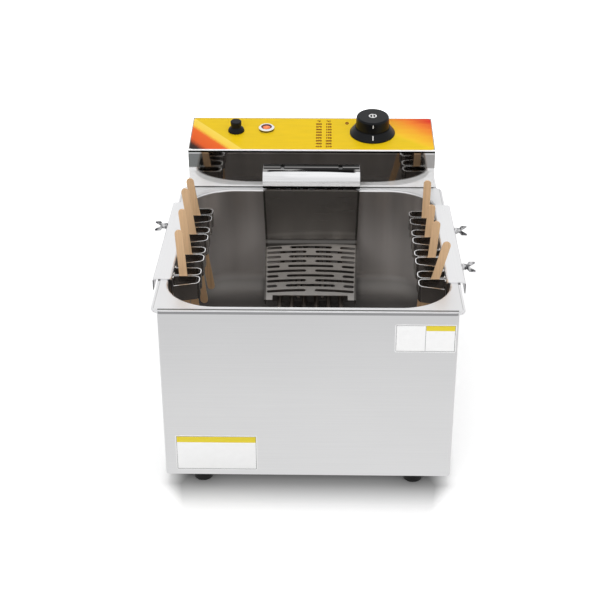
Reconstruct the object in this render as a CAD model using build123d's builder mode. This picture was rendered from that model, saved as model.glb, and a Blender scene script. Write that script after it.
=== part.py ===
from build123d import *

import os
from math import asin, cos, degrees, radians, sin, tan

os.makedirs("parts", exist_ok=True)

# Driving dimensions in millimetres. X runs to the right, Y away from the user, Z up.
# The origin lies on the worktop, in the middle of the fryer's bounding box.
casing_width = 430
casing_height = 282.8
foot_height = 18
rim_overhang = 8
rim_to_head = 455
head_depth = 112
head_side_inset = 5
head_front_height = 68
panel_tilt = 9  # degrees, panel leaning towards the user
gland_reach = 14
sheet = 1.2

# Clearances
fit_gap = 0.3
hole_gap = 0.15
running_gap = 0.05
seam_gap = 1.0
overrun = 5

# Casing
casing_corner_radius = 6
casing_return_width = 14
pan_wall_height = 20
vent_slot_length = 26
vent_slot_width = 4
vent_slot_pitch = 12
vent_slots_in_row = 9
vent_row_spread = 190

# Basin with its flange and rolled rim
rim_width = 16
rear_strip = 13
rim_corner_radius = 16
rim_bend_radius = 3
roll_width = 3
roll_height = 5
roll_edge_radius = 1.4
basin_depth = 185
basin_corner_radius = 76
basin_floor_radius = 32

# Feet and small fasteners
foot_top_diameter = 32
foot_bottom_diameter = 28
foot_edge_radius = 2
foot_side_inset = 55
foot_end_inset = 22
foot_recess_diameter = 14
foot_recess_depth = 7
foot_screw_diameter = 5
foot_screw_head_diameter = 10
foot_screw_head_height = 3
foot_nut_width = 8
foot_nut_height = 4
panel_screw_diameter = 3.5
panel_screw_head_diameter = 7
panel_screw_head_height = 2.2
panel_screw_length = 8
panel_screw_inset = 10
head_crown_share = 0.6

# Rear deck and locating pegs
deck_flange_height = 10
peg_diameter = 8
peg_height = 11
peg_tip = 2
peg_side_inset = 60
peg_setback = 85

# Control head
fold_radius = 1.6
head_tray_wall = 6
cover_tab_depth = 10
cover_tab_margin = 3
cover_slot_length = 34
cover_slot_width = 3
cover_slot_pitch = 8
cover_slot_rows = 4
cover_slot_spread = 120
overlay_thickness = 0.4
overlay_inset = 2
overlay_corner_radius = 5
gland_x = -130
gland_height = 30
gland_bore_diameter = 9
gland_thread_diameter = 15
gland_flange_diameter = 24
gland_flange_thickness = 5
gland_nose_diameter = 14
gland_inner_length = 8
gland_nut_width = 20
gland_nut_thickness = 4

# Temperature knob and its thermostat
knob_x = 104.5
knob_setback = 60
knob_skirt_diameter = 78
knob_skirt_edge = 1.6
knob_skirt_rise = 12.5
knob_shoulder_diameter = 61
knob_body_diameter = 58
knob_top_diameter = 55.5
knob_height = 32.5
knob_top_radius = 3
knob_hollow_diameter = 50
knob_roof = 4
knob_boss_diameter = 14
knob_boss_lift = 8
shaft_diameter = 6
shaft_above_panel = 24
shaft_below_panel = 20
bush_diameter = 10
bush_height = 6
bush_nut_width = 12.5
bush_nut_thickness = 2.4
thermostat_width = 40
thermostat_length = 46
thermostat_thickness = 27
body_edge_radius = 2

# Limit thermostat, its reset button and cap
limit_x = -131.5
limit_setback = 65
limit_width = 30
limit_length = 36
limit_thickness = 22
limit_bush_height = 8
button_diameter = 5
button_above_bush = 2
button_below_panel = 6
button_travel = 1.5
cap_skirt_diameter = 28
cap_skirt_edge = 1.6
cap_shoulder_diameter = 25.5
cap_shoulder_height = 4.6
cap_waist_diameter = 17.6
cap_waist_height = 8
cap_top_diameter = 19
cap_height = 19
cap_top_edge = 1.2
cap_nut_room = 3.6
cap_bore_depth = 12

# Pilot lamp
lamp_x = -79
lamp_setback = 70
lamp_bezel_diameter = 27
lamp_bezel_edge = 4.3
lamp_bezel_height = 5.5
lamp_lip_diameter = 24
lamp_lens_diameter = 18
lamp_lens_recess = 2
lamp_lens_rise = 1.5
lamp_tube_wall = 1.4
lamp_tube_depth = 14
lamp_body_depth = 26

# Parts that stand on the head's base
contactor_size = (46, 44, 40)
contactor_place = (22, 78)
contactor_ridge = 8
terminal_block_size = (64, 20, 15)
terminal_block_place = (-64, 88)
terminal_pockets = 6
terminal_pocket_share = 0.55
microswitch_size = (10, 26, 15)
microswitch_lever = (6, 18, 1.2)

# Heating elements
tube_diameter = 8
tube_pitch = 20
tube_count = 6
tube_exit_height = 19
tube_standoff = 19.3
tube_inner_length = 14
pin_diameter = 3
pin_length = 9
heater_depth = 130
heater_run = 190
tube_top_bend = 9
tube_low_bend = 22
tube_turn_straight = 1
element_nut_width = 13
element_nut_thickness = 4
mounting_plate_width = 158
mounting_plate_thickness = 2
mounting_lip_depth = 8.5
mounting_plate_lift = 3
bulb_diameter = 6
capillary_diameter = 2
bulb_length = 96
bulb_setback = 44
comb_thickness = 1.5
comb_below_tube = 4
comb_side_margin = 3
comb_steps = (64, 132)  # millimetres from the guard's bend, towards the user

# Hood over the elements
hood_width = 165
hood_ledge_height = 37
hood_ledge_depth = 9
hood_reach = 28.5
hood_curve_low = 16
hood_lift = 9.5
hood_screw_spread = 99
hood_screw_diameter = 4
hood_screw_head_diameter = 7
hood_screw_head_height = 2
hood_screw_length = 6

# Heater guard
guard_reach = 26.5
guard_flange_depth = 9
guard_top_height = 6.5
guard_corner_width = 15
guard_corner_drop = 5
guard_bend_depth = 92
guard_bend_radius = 8
grille_run = 168
grille_slope = 9  # degrees below the horizontal, towards the user
guard_top_width = 164
guard_tab_gap = 120
guard_bend_width = 158
guard_front_width = 147
guard_notch_width = 123
guard_tongue_length = 13
slot_rows = 10
slot_width = 7
slot_first_row = 14.5
slot_row_pitch = 14
slot_arc_radius = 520
slot_side_margin = 2.6
slot_centre_half = 36.2
slot_centre_growth = 0.6
slot_bridge = 13.5
slot_middle_bridge = 15

# Side racks with their spring clips
rack_length = 286
left_rack_inset = 98.5
right_rack_inset = 92.5
rack_outer_reach = 8
rack_wall_gap = 2.8
rack_outer_leg = 17
rack_inner_leg = 34
rack_bend_radius = 2.4
clip_pitch = 74.5
clip_pairs = 4
clip_loop_width = 23
clip_loop_length = 41
clip_height = 26
clip_drop = 5
clip_lead = 6.5
clip_splay = 10
clip_end_gap = 4
clip_tip_radius = 8.5
clip_root_radius = 2
clip_foot_length = 7
screw_drop = 3.2
wing_screw_diameter = 5
weld_nut_width = 9
weld_nut_thickness = 3.5
wing_hub_diameter = 9
wing_hub_length = 6
wing_span = 18
wing_reach = 15.9
wing_thickness = 1.8
wing_root = 2
wing_tip_start = 7
wing_turn = 28  # degrees, rear wing up
left_screw_shares = (0.304,)
right_screw_shares = (0.325, 0.785)

# Wooden sticks
stick_length = 204
stick_width = 12
stick_thickness = 2.2
stick_inset = 15
left_stick_leans = (3.1, 4.9, 6.9, 8.4)  # degrees, front to rear
right_stick_leans = (14.5, 5, 3.3, 1)  # degrees, front to rear
left_stick_rise_shares = (0.365, 0.37, 0.385, 0.32)
right_stick_rise_shares = (0.305, 0.295, 0.27, 0.32)

# Places worked out from the sizes above
overall_depth = rim_to_head + head_depth + gland_reach
front_y = -overall_depth / 2
head_face_y = front_y + rim_to_head
head_back_y = head_face_y + head_depth
casing_front_y = front_y + rim_overhang
casing_back_y = head_back_y
casing_depth = casing_back_y - casing_front_y
head_width = casing_width - 2 * head_side_inset
peg_spread = head_width - 2 * peg_side_inset
casing_mid_y = (casing_front_y + casing_back_y) / 2
casing_base_z = foot_height
casing_top_z = casing_base_z + casing_height
rim_top_z = casing_top_z + sheet
rim_outer_width = casing_width + 2 * rim_overhang
basin_width = rim_outer_width - 2 * rim_width
basin_front_y = front_y + rim_width
basin_back_y = head_face_y - rear_strip
basin_length = basin_back_y - basin_front_y
rim_back_y = basin_back_y + rim_width
rim_mid_y = (front_y + rim_back_y) / 2
rim_length = rim_back_y - front_y
basin_mid_y = (basin_front_y + basin_back_y) / 2
deck_front_y = rim_back_y + seam_gap
panel_front_z = rim_top_z + head_front_height
panel_length = (head_depth - sheet) / cos(radians(panel_tilt))

# Upright sheets face the user (face_plane) or the wall behind (back_plane).
face_plane = Plane(origin=(0, head_face_y, rim_top_z), x_dir=(1, 0, 0), z_dir=(0, -1, 0))
back_plane = Plane(origin=(0, head_back_y, rim_top_z), x_dir=(-1, 0, 0), z_dir=(0, 1, 0))
panel_normal = Vector(0, -sin(radians(panel_tilt)), cos(radians(panel_tilt)))
panel_plane = Plane(origin=(0, head_face_y, panel_front_z), x_dir=(1, 0, 0), z_dir=panel_normal)


def moved(plane, across, along, lift):
    """A plane parallel to another, its origin at a place given in that plane's own axes."""
    place = plane.from_local_coords((across, along, lift))
    return Plane(origin=place, x_dir=plane.x_dir, z_dir=plane.z_dir)


def on_panel(across, setback, lift):
    """A plane parallel to the control panel, with its origin at a place on it."""
    return moved(panel_plane, across, setback, lift)


def upright(plane):
    """The plane through another plane's normal, on which turned outlines are drawn."""
    return Plane(origin=plane.origin, x_dir=plane.x_dir, z_dir=-plane.y_dir)


def turned(planes, outline):
    """A turned solid on each plane, from points of radius and height."""
    with BuildPart() as pieces:
        for plane in planes:
            with BuildSketch(upright(plane)):
                with BuildLine():
                    Polyline(*outline, close=True)
                make_face()
            revolve(axis=Axis(plane.origin, plane.z_dir))
    return pieces


def screw_outline(shank, head, head_height, length):
    """Half section of a pan head screw, with its head standing on height zero."""
    return [
        (0, head_height),
        (head * head_crown_share / 2, head_height),
        (head / 2, head_height * head_crown_share),
        (head / 2, 0),
        (shank / 2, 0),
        (shank / 2, -length),
        (0, -length),
    ]


def hex_rings(planes, width, bore, thickness):
    """A hexagon nut on each plane, with a round bore."""
    with BuildPart() as nuts:
        for plane in planes:
            with BuildSketch(plane):
                RegularPolygon(width / 2, 6, major_radius=False)
                Circle(bore / 2, mode=Mode.SUBTRACT)
            extrude(amount=thickness)
    return nuts


def tray(width, front, back, base, wall, corner):
    """A folded pan with upright walls all round."""
    floor_plane = Plane(origin=(0, (front + back) / 2, base))
    with BuildPart() as pan:
        with BuildSketch(floor_plane):
            RectangleRounded(width, back - front, corner)
        extrude(amount=wall)
        with BuildSketch(floor_plane.offset(sheet)):
            RectangleRounded(width - 2 * sheet, back - front - 2 * sheet, corner - sheet)
        extrude(amount=wall, mode=Mode.SUBTRACT)
    return pan


def keep(piece, name):
    """Label a finished piece and write it as a STEP file."""
    piece.part.label = name
    export_step(piece.part, f"parts/{name}.step")


# Outer casing: one folded sheet for the front and both sides, with return flanges behind.
rear_screw_x = casing_width / 2 - panel_screw_inset
rear_screw_z = [casing_base_z + casing_height * share / 2 for share in (0.3, 1, 1.7)]
rear_screw_planes = [
    Plane(origin=(x, casing_back_y, z), x_dir=(1, 0, 0), z_dir=(0, 1, 0))
    for x in (-rear_screw_x, rear_screw_x)
    for z in rear_screw_z
]
with BuildPart() as outer_casing:
    with BuildSketch(Plane(origin=(0, casing_mid_y, casing_base_z))):
        RectangleRounded(casing_width, casing_depth, casing_corner_radius)
        RectangleRounded(
            casing_width - 2 * sheet,
            casing_depth - 2 * sheet,
            casing_corner_radius - sheet,
            mode=Mode.SUBTRACT,
        )
        with Locations((0, casing_depth / 2)):
            Rectangle(casing_width - 2 * casing_return_width, overrun, mode=Mode.SUBTRACT)
    extrude(amount=casing_height)
    notch_back_y = rim_back_y + fit_gap
    notch_front_y = rim_back_y - rim_corner_radius
    with BuildSketch(Plane(origin=(0, (notch_front_y + notch_back_y) / 2, casing_top_z))):
        Rectangle(casing_width + overrun, notch_back_y - notch_front_y)
    extrude(amount=-roll_height, mode=Mode.SUBTRACT)
    for plane in rear_screw_planes:
        with BuildSketch(plane):
            Circle(panel_screw_diameter / 2 + hole_gap)
        extrude(amount=-sheet - fit_gap, mode=Mode.SUBTRACT)
keep(outer_casing, "outer_casing")

# Rear panel behind the return flanges, with two rows of upright vent slots.
with BuildPart() as rear_panel:
    with BuildSketch(
        Plane(origin=(0, casing_back_y - sheet, casing_base_z), x_dir=(-1, 0, 0), z_dir=(0, 1, 0))
    ):
        with Locations((0, casing_height / 2)):
            Rectangle(casing_width - 2 * casing_corner_radius, casing_height)
            with GridLocations(vent_row_spread, vent_slot_length * 2, 2, 2):
                with GridLocations(vent_slot_pitch, 0, vent_slots_in_row, 1):
                    SlotOverall(vent_slot_length, vent_slot_width, rotation=90, mode=Mode.SUBTRACT)
    extrude(amount=-sheet)
    for plane in rear_screw_planes:
        with BuildSketch(plane):
            Circle(panel_screw_diameter / 2 + hole_gap)
        extrude(amount=-overrun, mode=Mode.SUBTRACT)
keep(rear_panel, "rear_panel")
rear_panel_screws = turned(
    rear_screw_planes,
    screw_outline(
        panel_screw_diameter, panel_screw_head_diameter, panel_screw_head_height, panel_screw_length
    ),
)
keep(rear_panel_screws, "rear_panel_screws")

# Base pan, feet and foot screws
foot_x = casing_width / 2 - foot_side_inset
foot_front_y = casing_front_y + foot_end_inset
foot_back_y = casing_back_y - foot_end_inset
foot_places = {
    "foot_front_left": (-foot_x, foot_front_y),
    "foot_front_right": (foot_x, foot_front_y),
    "foot_rear_left": (-foot_x, foot_back_y),
    "foot_rear_right": (foot_x, foot_back_y),
}
plain_pan = tray(
    casing_width - 2 * sheet - 2 * fit_gap,
    casing_front_y + sheet + fit_gap,
    casing_back_y - 2 * sheet - fit_gap,
    casing_base_z,
    pan_wall_height,
    casing_corner_radius - sheet,
)
with BuildPart() as base_pan:
    add(plain_pan.part)
    for place in foot_places.values():
        with BuildSketch(Plane(origin=(*place, casing_base_z))):
            Circle(foot_screw_diameter / 2 + hole_gap)
        extrude(amount=overrun, mode=Mode.SUBTRACT)
    with BuildSketch(Plane(origin=(0, casing_mid_y, casing_base_z))):
        with GridLocations(vent_row_spread, vent_slot_length * 2, 2, 2):
            with GridLocations(vent_slot_pitch, 0, vent_slots_in_row, 1):
                SlotOverall(vent_slot_length, vent_slot_width, rotation=90)
    extrude(amount=overrun, mode=Mode.SUBTRACT)
keep(base_pan, "base_pan")

for name, place in foot_places.items():
    foot_plane = Plane(origin=(*place, 0))
    with BuildPart(foot_plane) as foot:
        Cone(
            foot_bottom_diameter / 2,
            foot_top_diameter / 2,
            foot_height,
            align=(Align.CENTER, Align.CENTER, Align.MIN),
        )
        fillet(foot.edges().group_by(Axis.Z)[0], foot_edge_radius)
        with BuildSketch(foot_plane):
            Circle(foot_recess_diameter / 2)
        extrude(amount=foot_recess_depth, mode=Mode.SUBTRACT)
        with BuildSketch(foot_plane):
            Circle(foot_screw_diameter / 2 + hole_gap)
        extrude(amount=foot_height, mode=Mode.SUBTRACT)
    keep(foot, name)

screw_down_planes = [
    Plane(origin=(*place, foot_recess_depth), x_dir=(1, 0, 0), z_dir=(0, 0, -1))
    for place in foot_places.values()
]
foot_screw_length = foot_height - foot_recess_depth + sheet + foot_nut_height + foot_edge_radius
plain_foot_screws = turned(
    screw_down_planes,
    screw_outline(
        foot_screw_diameter, foot_screw_head_diameter, foot_screw_head_height, foot_screw_length
    ),
)
with BuildPart() as foot_screws:
    add(plain_foot_screws.part)
    for place in foot_places.values():
        with BuildSketch(Plane(origin=(*place, casing_base_z + sheet))):
            RegularPolygon(foot_nut_width / 2, 6, major_radius=False)
        extrude(amount=foot_nut_height)
keep(foot_screws, "foot_screws")

# Basin: a drawn tub whose flange lies on the casing and ends in a rolled rim.
with BuildPart() as basin_hollow:
    with BuildSketch(Plane(origin=(0, basin_mid_y, rim_top_z))):
        RectangleRounded(basin_width, basin_length, basin_corner_radius)
    extrude(amount=-basin_depth)
    fillet(basin_hollow.edges().group_by(Axis.Z)[0], basin_floor_radius)

with BuildPart() as basin:
    with BuildSketch(Plane(origin=(0, basin_mid_y, rim_top_z))):
        RectangleRounded(
            basin_width + 2 * sheet, basin_length + 2 * sheet, basin_corner_radius + sheet
        )
    extrude(amount=-basin_depth - sheet)
    fillet(basin.edges().group_by(Axis.Z)[0], basin_floor_radius + sheet)
    with BuildSketch(Plane(origin=(0, rim_mid_y, rim_top_z))):
        RectangleRounded(rim_outer_width, rim_length, rim_corner_radius)
    extrude(amount=-sheet)
    with BuildSketch(Plane(origin=(0, rim_mid_y, rim_top_z))):
        RectangleRounded(rim_outer_width, rim_length, rim_corner_radius)
        RectangleRounded(
            rim_outer_width - 2 * roll_width,
            rim_length - 2 * roll_width,
            rim_corner_radius - roll_width,
            mode=Mode.SUBTRACT,
        )
    extrude(amount=-roll_height)
    rim_face = basin.faces().filter_by(Axis.Z).sort_by(Axis.Z)[-1]
    fillet(rim_face.outer_wire().edges(), roll_edge_radius)
    add(basin_hollow.part, mode=Mode.SUBTRACT)
    mouth_face = basin.faces().filter_by(Axis.Z).sort_by(Axis.Z)[-1]
    fillet(mouth_face.inner_wires()[0].edges(), rim_bend_radius)
keep(basin, "basin")

# Rear deck behind the basin, which carries the control head on its two pegs.
deck_mid_y = (deck_front_y + casing_back_y) / 2
deck_depth = casing_back_y - deck_front_y
flange_back_y = casing_back_y - 2 * sheet - fit_gap
flange_mid_y = (deck_front_y + flange_back_y) / 2
flange_depth = flange_back_y - deck_front_y
with BuildPart() as rear_deck:
    with BuildSketch(Plane(origin=(0, deck_mid_y, casing_top_z))):
        Rectangle(casing_width, deck_depth)
    extrude(amount=sheet)
    deck_corners = rear_deck.edges().filter_by(Axis.Z).group_by(Axis.Y)[-1]
    fillet(deck_corners, casing_corner_radius)
    with BuildSketch(Plane(origin=(0, flange_mid_y, casing_top_z))):
        flange_width = casing_width - 2 * casing_corner_radius
        Rectangle(flange_width, flange_depth)
        Rectangle(flange_width - 2 * sheet, flange_depth - 2 * sheet, mode=Mode.SUBTRACT)
    extrude(amount=-deck_flange_height)
keep(rear_deck, "rear_deck")

peg_y = head_face_y + peg_setback
peg_planes = [Plane(origin=(x, peg_y, rim_top_z)) for x in (-peg_spread / 2, peg_spread / 2)]
locating_pegs = turned(
    peg_planes,
    [
        (0, peg_height),
        (peg_diameter / 2 - peg_tip, peg_height),
        (peg_diameter / 2, peg_height - peg_tip),
        (peg_diameter / 2, 0),
        (0, 0),
    ],
)
keep(locating_pegs, "locating_pegs")

# Head base: a tray that rests on the rear rim and the deck.
cover_front_y = head_back_y - sheet
plain_head_base = tray(
    head_width - 2 * sheet - 2 * fit_gap,
    head_face_y + sheet + fit_gap,
    cover_front_y - fit_gap,
    rim_top_z,
    head_tray_wall,
    fold_radius + sheet,
)
with BuildPart() as head_base:
    add(plain_head_base.part)
    for plane in peg_planes:
        with BuildSketch(plane):
            Circle(peg_diameter / 2 + fit_gap)
        extrude(amount=overrun, mode=Mode.SUBTRACT)
keep(head_base, "head_base")

# Tube legs, counted from the left, and the two bulb tubes that run between them.
leg_x = [tube_pitch * (leg - (tube_count - 1) / 2) for leg in range(tube_count)]
bulb_x = {"thermostat_bulb": tube_pitch, "limit_bulb": -tube_pitch}
panel_holes = {
    (knob_x, knob_setback): bush_diameter / 2 + hole_gap,
    (limit_x, limit_setback): bush_diameter / 2 + hole_gap,
    (lamp_x, lamp_setback): lamp_lens_diameter / 2 + fit_gap + lamp_tube_wall + hole_gap,
}

# Screws that hold the back cover go through the housing's sides.
cover_screw_y = cover_front_y - cover_tab_depth / 2
cover_screw_z = [rim_top_z + head_front_height * share for share in (0.35, 0.85)]
cover_screw_planes = [
    Plane(origin=(side * head_width / 2, cover_screw_y, z), x_dir=(0, 1, 0), z_dir=(side, 0, 0))
    for side in (-1, 1)
    for z in cover_screw_z
]

# Head housing: front, sides and sloping top folded from one sheet, open below and behind.
with BuildPart() as head_housing:
    with BuildSketch(Plane.YZ):
        with BuildLine():
            Polyline(
                (head_face_y, rim_top_z),
                (head_face_y, panel_front_z),
                (cover_front_y, panel_front_z + (head_depth - sheet) * tan(radians(panel_tilt))),
                (cover_front_y, rim_top_z),
                close=True,
            )
        make_face()
    extrude(amount=head_width / 2, both=True)
    top_edges = head_housing.faces().sort_by(Axis.Z)[-1].edges().sort_by(Axis.Y)[:-1]
    front_edges = head_housing.edges().filter_by(Axis.Z).group_by(Axis.Y)[0]
    fillet([*top_edges, *front_edges], fold_radius)
    open_faces = [
        head_housing.faces().sort_by(Axis.Z)[0],
        head_housing.faces().sort_by(Axis.Y)[-1],
    ]
    offset(amount=-sheet, openings=open_faces)
    with BuildSketch(panel_plane):
        for place, radius in panel_holes.items():
            with Locations(place):
                Circle(radius)
    extrude(amount=-overrun, mode=Mode.SUBTRACT)
    with BuildSketch(face_plane):
        with Locations(*[(x, tube_exit_height) for x in leg_x]):
            Circle(tube_diameter / 2 + hole_gap)
        with Locations(*[(x, tube_exit_height) for x in bulb_x.values()]):
            Circle(capillary_diameter / 2 + hole_gap)
    extrude(amount=-overrun, mode=Mode.SUBTRACT)
    for plane in cover_screw_planes:
        with BuildSketch(plane):
            Circle(panel_screw_diameter / 2 + hole_gap)
        extrude(amount=-overrun, mode=Mode.SUBTRACT)
keep(head_housing, "head_housing")

# Back cover of the head, with side tabs inside the housing and two blocks of vent slots.
cover_height = head_front_height + (head_depth - sheet) * tan(radians(panel_tilt))
tab_bottom = head_tray_wall + cover_tab_margin
tab_top = head_front_height
gland_plane = Plane(
    origin=(gland_x, head_back_y, rim_top_z + gland_height), x_dir=(-1, 0, 0), z_dir=(0, 1, 0)
)
with BuildPart() as head_cover:
    with BuildSketch(back_plane):
        with Locations((0, cover_height / 2)):
            Rectangle(head_width, cover_height)
        with Locations((0, head_front_height / 2)):
            with GridLocations(cover_slot_spread, cover_slot_pitch, 2, cover_slot_rows):
                SlotOverall(cover_slot_length, cover_slot_width, mode=Mode.SUBTRACT)
        with Locations((-gland_x, gland_height)):
            Circle(gland_thread_diameter / 2 + hole_gap, mode=Mode.SUBTRACT)
    extrude(amount=-sheet)
    with BuildSketch(back_plane.offset(-sheet)):
        tab_x = head_width / 2 - sheet - fit_gap - sheet / 2
        with Locations((-tab_x, (tab_bottom + tab_top) / 2), (tab_x, (tab_bottom + tab_top) / 2)):
            Rectangle(sheet, tab_top - tab_bottom)
    extrude(amount=-cover_tab_depth)
    for plane in cover_screw_planes:
        with BuildSketch(plane):
            Circle(panel_screw_diameter / 2 + hole_gap)
        extrude(amount=-overrun, mode=Mode.SUBTRACT)
keep(head_cover, "head_cover")
cover_screws = turned(
    cover_screw_planes,
    screw_outline(
        panel_screw_diameter, panel_screw_head_diameter, panel_screw_head_height, panel_screw_length
    ),
)
keep(cover_screws, "cover_screws")

# Cord gland with its bore, and the nut that holds it inside the cover.
cord_gland = turned(
    [gland_plane],
    [
        (gland_bore_diameter / 2, -sheet - gland_inner_length),
        (gland_thread_diameter / 2, -sheet - gland_inner_length),
        (gland_thread_diameter / 2, 0),
        (gland_flange_diameter / 2, 0),
        (gland_flange_diameter / 2, gland_flange_thickness),
        (gland_nose_diameter / 2, gland_reach),
        (gland_bore_diameter / 2, gland_reach),
    ],
)
keep(cord_gland, "cord_gland")
gland_nut = hex_rings(
    [gland_plane.offset(-sheet - gland_nut_thickness)],
    gland_nut_width,
    gland_thread_diameter + 2 * hole_gap,
    gland_nut_thickness,
)
keep(gland_nut, "gland_nut")

# Control panel overlay: a film on the sloping top.
with BuildPart() as panel_overlay:
    with BuildSketch(panel_plane):
        with Locations((0, panel_length / 2)):
            RectangleRounded(
                head_width - 2 * overlay_inset,
                panel_length - 2 * overlay_inset,
                overlay_corner_radius,
            )
        for place, radius in panel_holes.items():
            with Locations(place):
                Circle(radius, mode=Mode.SUBTRACT)
    extrude(amount=overlay_thickness)
keep(panel_overlay, "panel_overlay")

# Temperature knob: a tall sloping skirt with a round grip on it, hollow below.
knob_plane = on_panel(knob_x, knob_setback, overlay_thickness + fit_gap)
knob_bore = shaft_diameter / 2
bore_top = shaft_above_panel - overlay_thickness - fit_gap
plain_knob = turned(
    [knob_plane],
    [
        (0, knob_height),
        (knob_top_diameter / 2, knob_height),
        (knob_body_diameter / 2, knob_skirt_rise),
        (knob_shoulder_diameter / 2, knob_skirt_rise),
        (knob_skirt_diameter / 2, knob_skirt_edge),
        (knob_skirt_diameter / 2, 0),
        (knob_hollow_diameter / 2, 0),
        (knob_hollow_diameter / 2, knob_height - knob_roof),
        (knob_boss_diameter / 2, knob_height - knob_roof),
        (knob_boss_diameter / 2, knob_boss_lift),
        (knob_bore, knob_boss_lift),
        (knob_bore, bore_top),
        (0, bore_top),
    ],
)
with BuildPart() as control_knob:
    add(plain_knob.part)
    fillet(control_knob.faces().sort_by(Axis.Z)[-1].edges(), knob_top_radius)
keep(control_knob, "control_knob")

shaft_plane = on_panel(knob_x, knob_setback, -shaft_below_panel)
thermostat_shaft = turned(
    [shaft_plane],
    [
        (0, 0),
        (shaft_diameter / 2, 0),
        (shaft_diameter / 2, shaft_below_panel + shaft_above_panel),
        (0, shaft_below_panel + shaft_above_panel),
    ],
)
keep(thermostat_shaft, "thermostat_shaft")


def thermostat(across, setback, width, length, thickness, bush, bore, bore_depth):
    """A thermostat block under the panel with a threaded bush that passes through it."""
    under_panel = on_panel(across, setback, -sheet)
    with BuildPart() as body:
        with BuildSketch(under_panel):
            RectangleRounded(width, length, body_edge_radius)
        extrude(amount=-thickness)
        chamfer(body.faces().sort_by(Axis.Z)[0].edges(), body_edge_radius)
        with BuildSketch(under_panel):
            Circle(bush_diameter / 2)
        extrude(amount=sheet + overlay_thickness + bush)
        with BuildSketch(on_panel(across, setback, overlay_thickness + bush)):
            Circle(bore / 2 + running_gap)
        extrude(amount=-bush - bore_depth, mode=Mode.SUBTRACT)
    return body


thermostat_body = thermostat(
    knob_x,
    knob_setback,
    thermostat_width,
    thermostat_length,
    thermostat_thickness,
    bush_height,
    shaft_diameter,
    shaft_below_panel + body_edge_radius,
)
keep(thermostat_body, "thermostat_body")
limit_thermostat = thermostat(
    limit_x,
    limit_setback,
    limit_width,
    limit_length,
    limit_thickness,
    limit_bush_height,
    button_diameter,
    button_below_panel + 2 * button_travel,
)
keep(limit_thermostat, "limit_thermostat")

bush_nuts = hex_rings(
    [
        on_panel(knob_x, knob_setback, overlay_thickness),
        on_panel(limit_x, limit_setback, overlay_thickness),
    ],
    bush_nut_width,
    bush_diameter + 2 * hole_gap,
    bush_nut_thickness,
)
keep(bush_nuts, "bush_nuts")

# Reset button of the limit thermostat, and the screw cap over it
button_plane = on_panel(limit_x, limit_setback, 0)
button_top = overlay_thickness + limit_bush_height + button_above_bush
reset_button = turned(
    [button_plane],
    [
        (0, button_top),
        (button_diameter / 2 - running_gap, button_top),
        (button_diameter / 2, button_top - running_gap),
        (button_diameter / 2, -button_below_panel),
        (0, -button_below_panel),
    ],
)
keep(reset_button, "reset_button")
cap_plane = on_panel(limit_x, limit_setback, overlay_thickness + fit_gap)
cap_room = bush_nut_width / 2 / cos(radians(30)) + fit_gap
reset_cap = turned(
    [cap_plane],
    [
        (0, cap_height),
        (cap_top_diameter / 2 - cap_top_edge, cap_height),
        (cap_top_diameter / 2, cap_height - cap_top_edge),
        (cap_waist_diameter / 2, cap_waist_height),
        (cap_shoulder_diameter / 2, cap_shoulder_height),
        (cap_skirt_diameter / 2, cap_skirt_edge),
        (cap_skirt_diameter / 2, 0),
        (cap_room, 0),
        (cap_room, cap_nut_room),
        (bush_diameter / 2 + fit_gap, cap_nut_room),
        (bush_diameter / 2 + fit_gap, cap_bore_depth),
        (0, cap_bore_depth),
    ],
)
keep(reset_cap, "reset_cap")

# Pilot lamp: chrome bezel with its threaded tube, lens and holder
lamp_plane = on_panel(lamp_x, lamp_setback, 0)
tube_inside = lamp_lens_diameter / 2 + fit_gap
lamp_bezel = turned(
    [lamp_plane],
    [
        (tube_inside, -lamp_tube_depth),
        (tube_inside + lamp_tube_wall, -lamp_tube_depth),
        (tube_inside + lamp_tube_wall, overlay_thickness),
        (lamp_bezel_diameter / 2, overlay_thickness),
        (lamp_bezel_diameter / 2, overlay_thickness + lamp_bezel_edge),
        (lamp_lip_diameter / 2, overlay_thickness + lamp_bezel_height),
        (tube_inside, overlay_thickness + lamp_bezel_height),
    ],
)
keep(lamp_bezel, "lamp_bezel")
lens_edge = (lamp_lens_diameter / 2, overlay_thickness + lamp_bezel_height - lamp_lens_recess)
lens_crown = (0, lens_edge[1] + lamp_lens_rise)
with BuildPart() as lamp_lens:
    with BuildSketch(upright(lamp_plane)):
        with BuildLine():
            TangentArc(lens_crown, lens_edge, tangent=(1, 0))
            Polyline(lens_edge, (lamp_lens_diameter / 2, 0), (0, 0), lens_crown)
        make_face()
    revolve(axis=Axis(lamp_plane.origin, lamp_plane.z_dir))
keep(lamp_lens, "lamp_lens")
lamp_body = turned(
    [lamp_plane],
    [
        (0, 0),
        (lamp_lens_diameter / 2, 0),
        (lamp_lens_diameter / 2, -lamp_body_depth),
        (0, -lamp_body_depth),
    ],
)
keep(lamp_body, "lamp_body")

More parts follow.
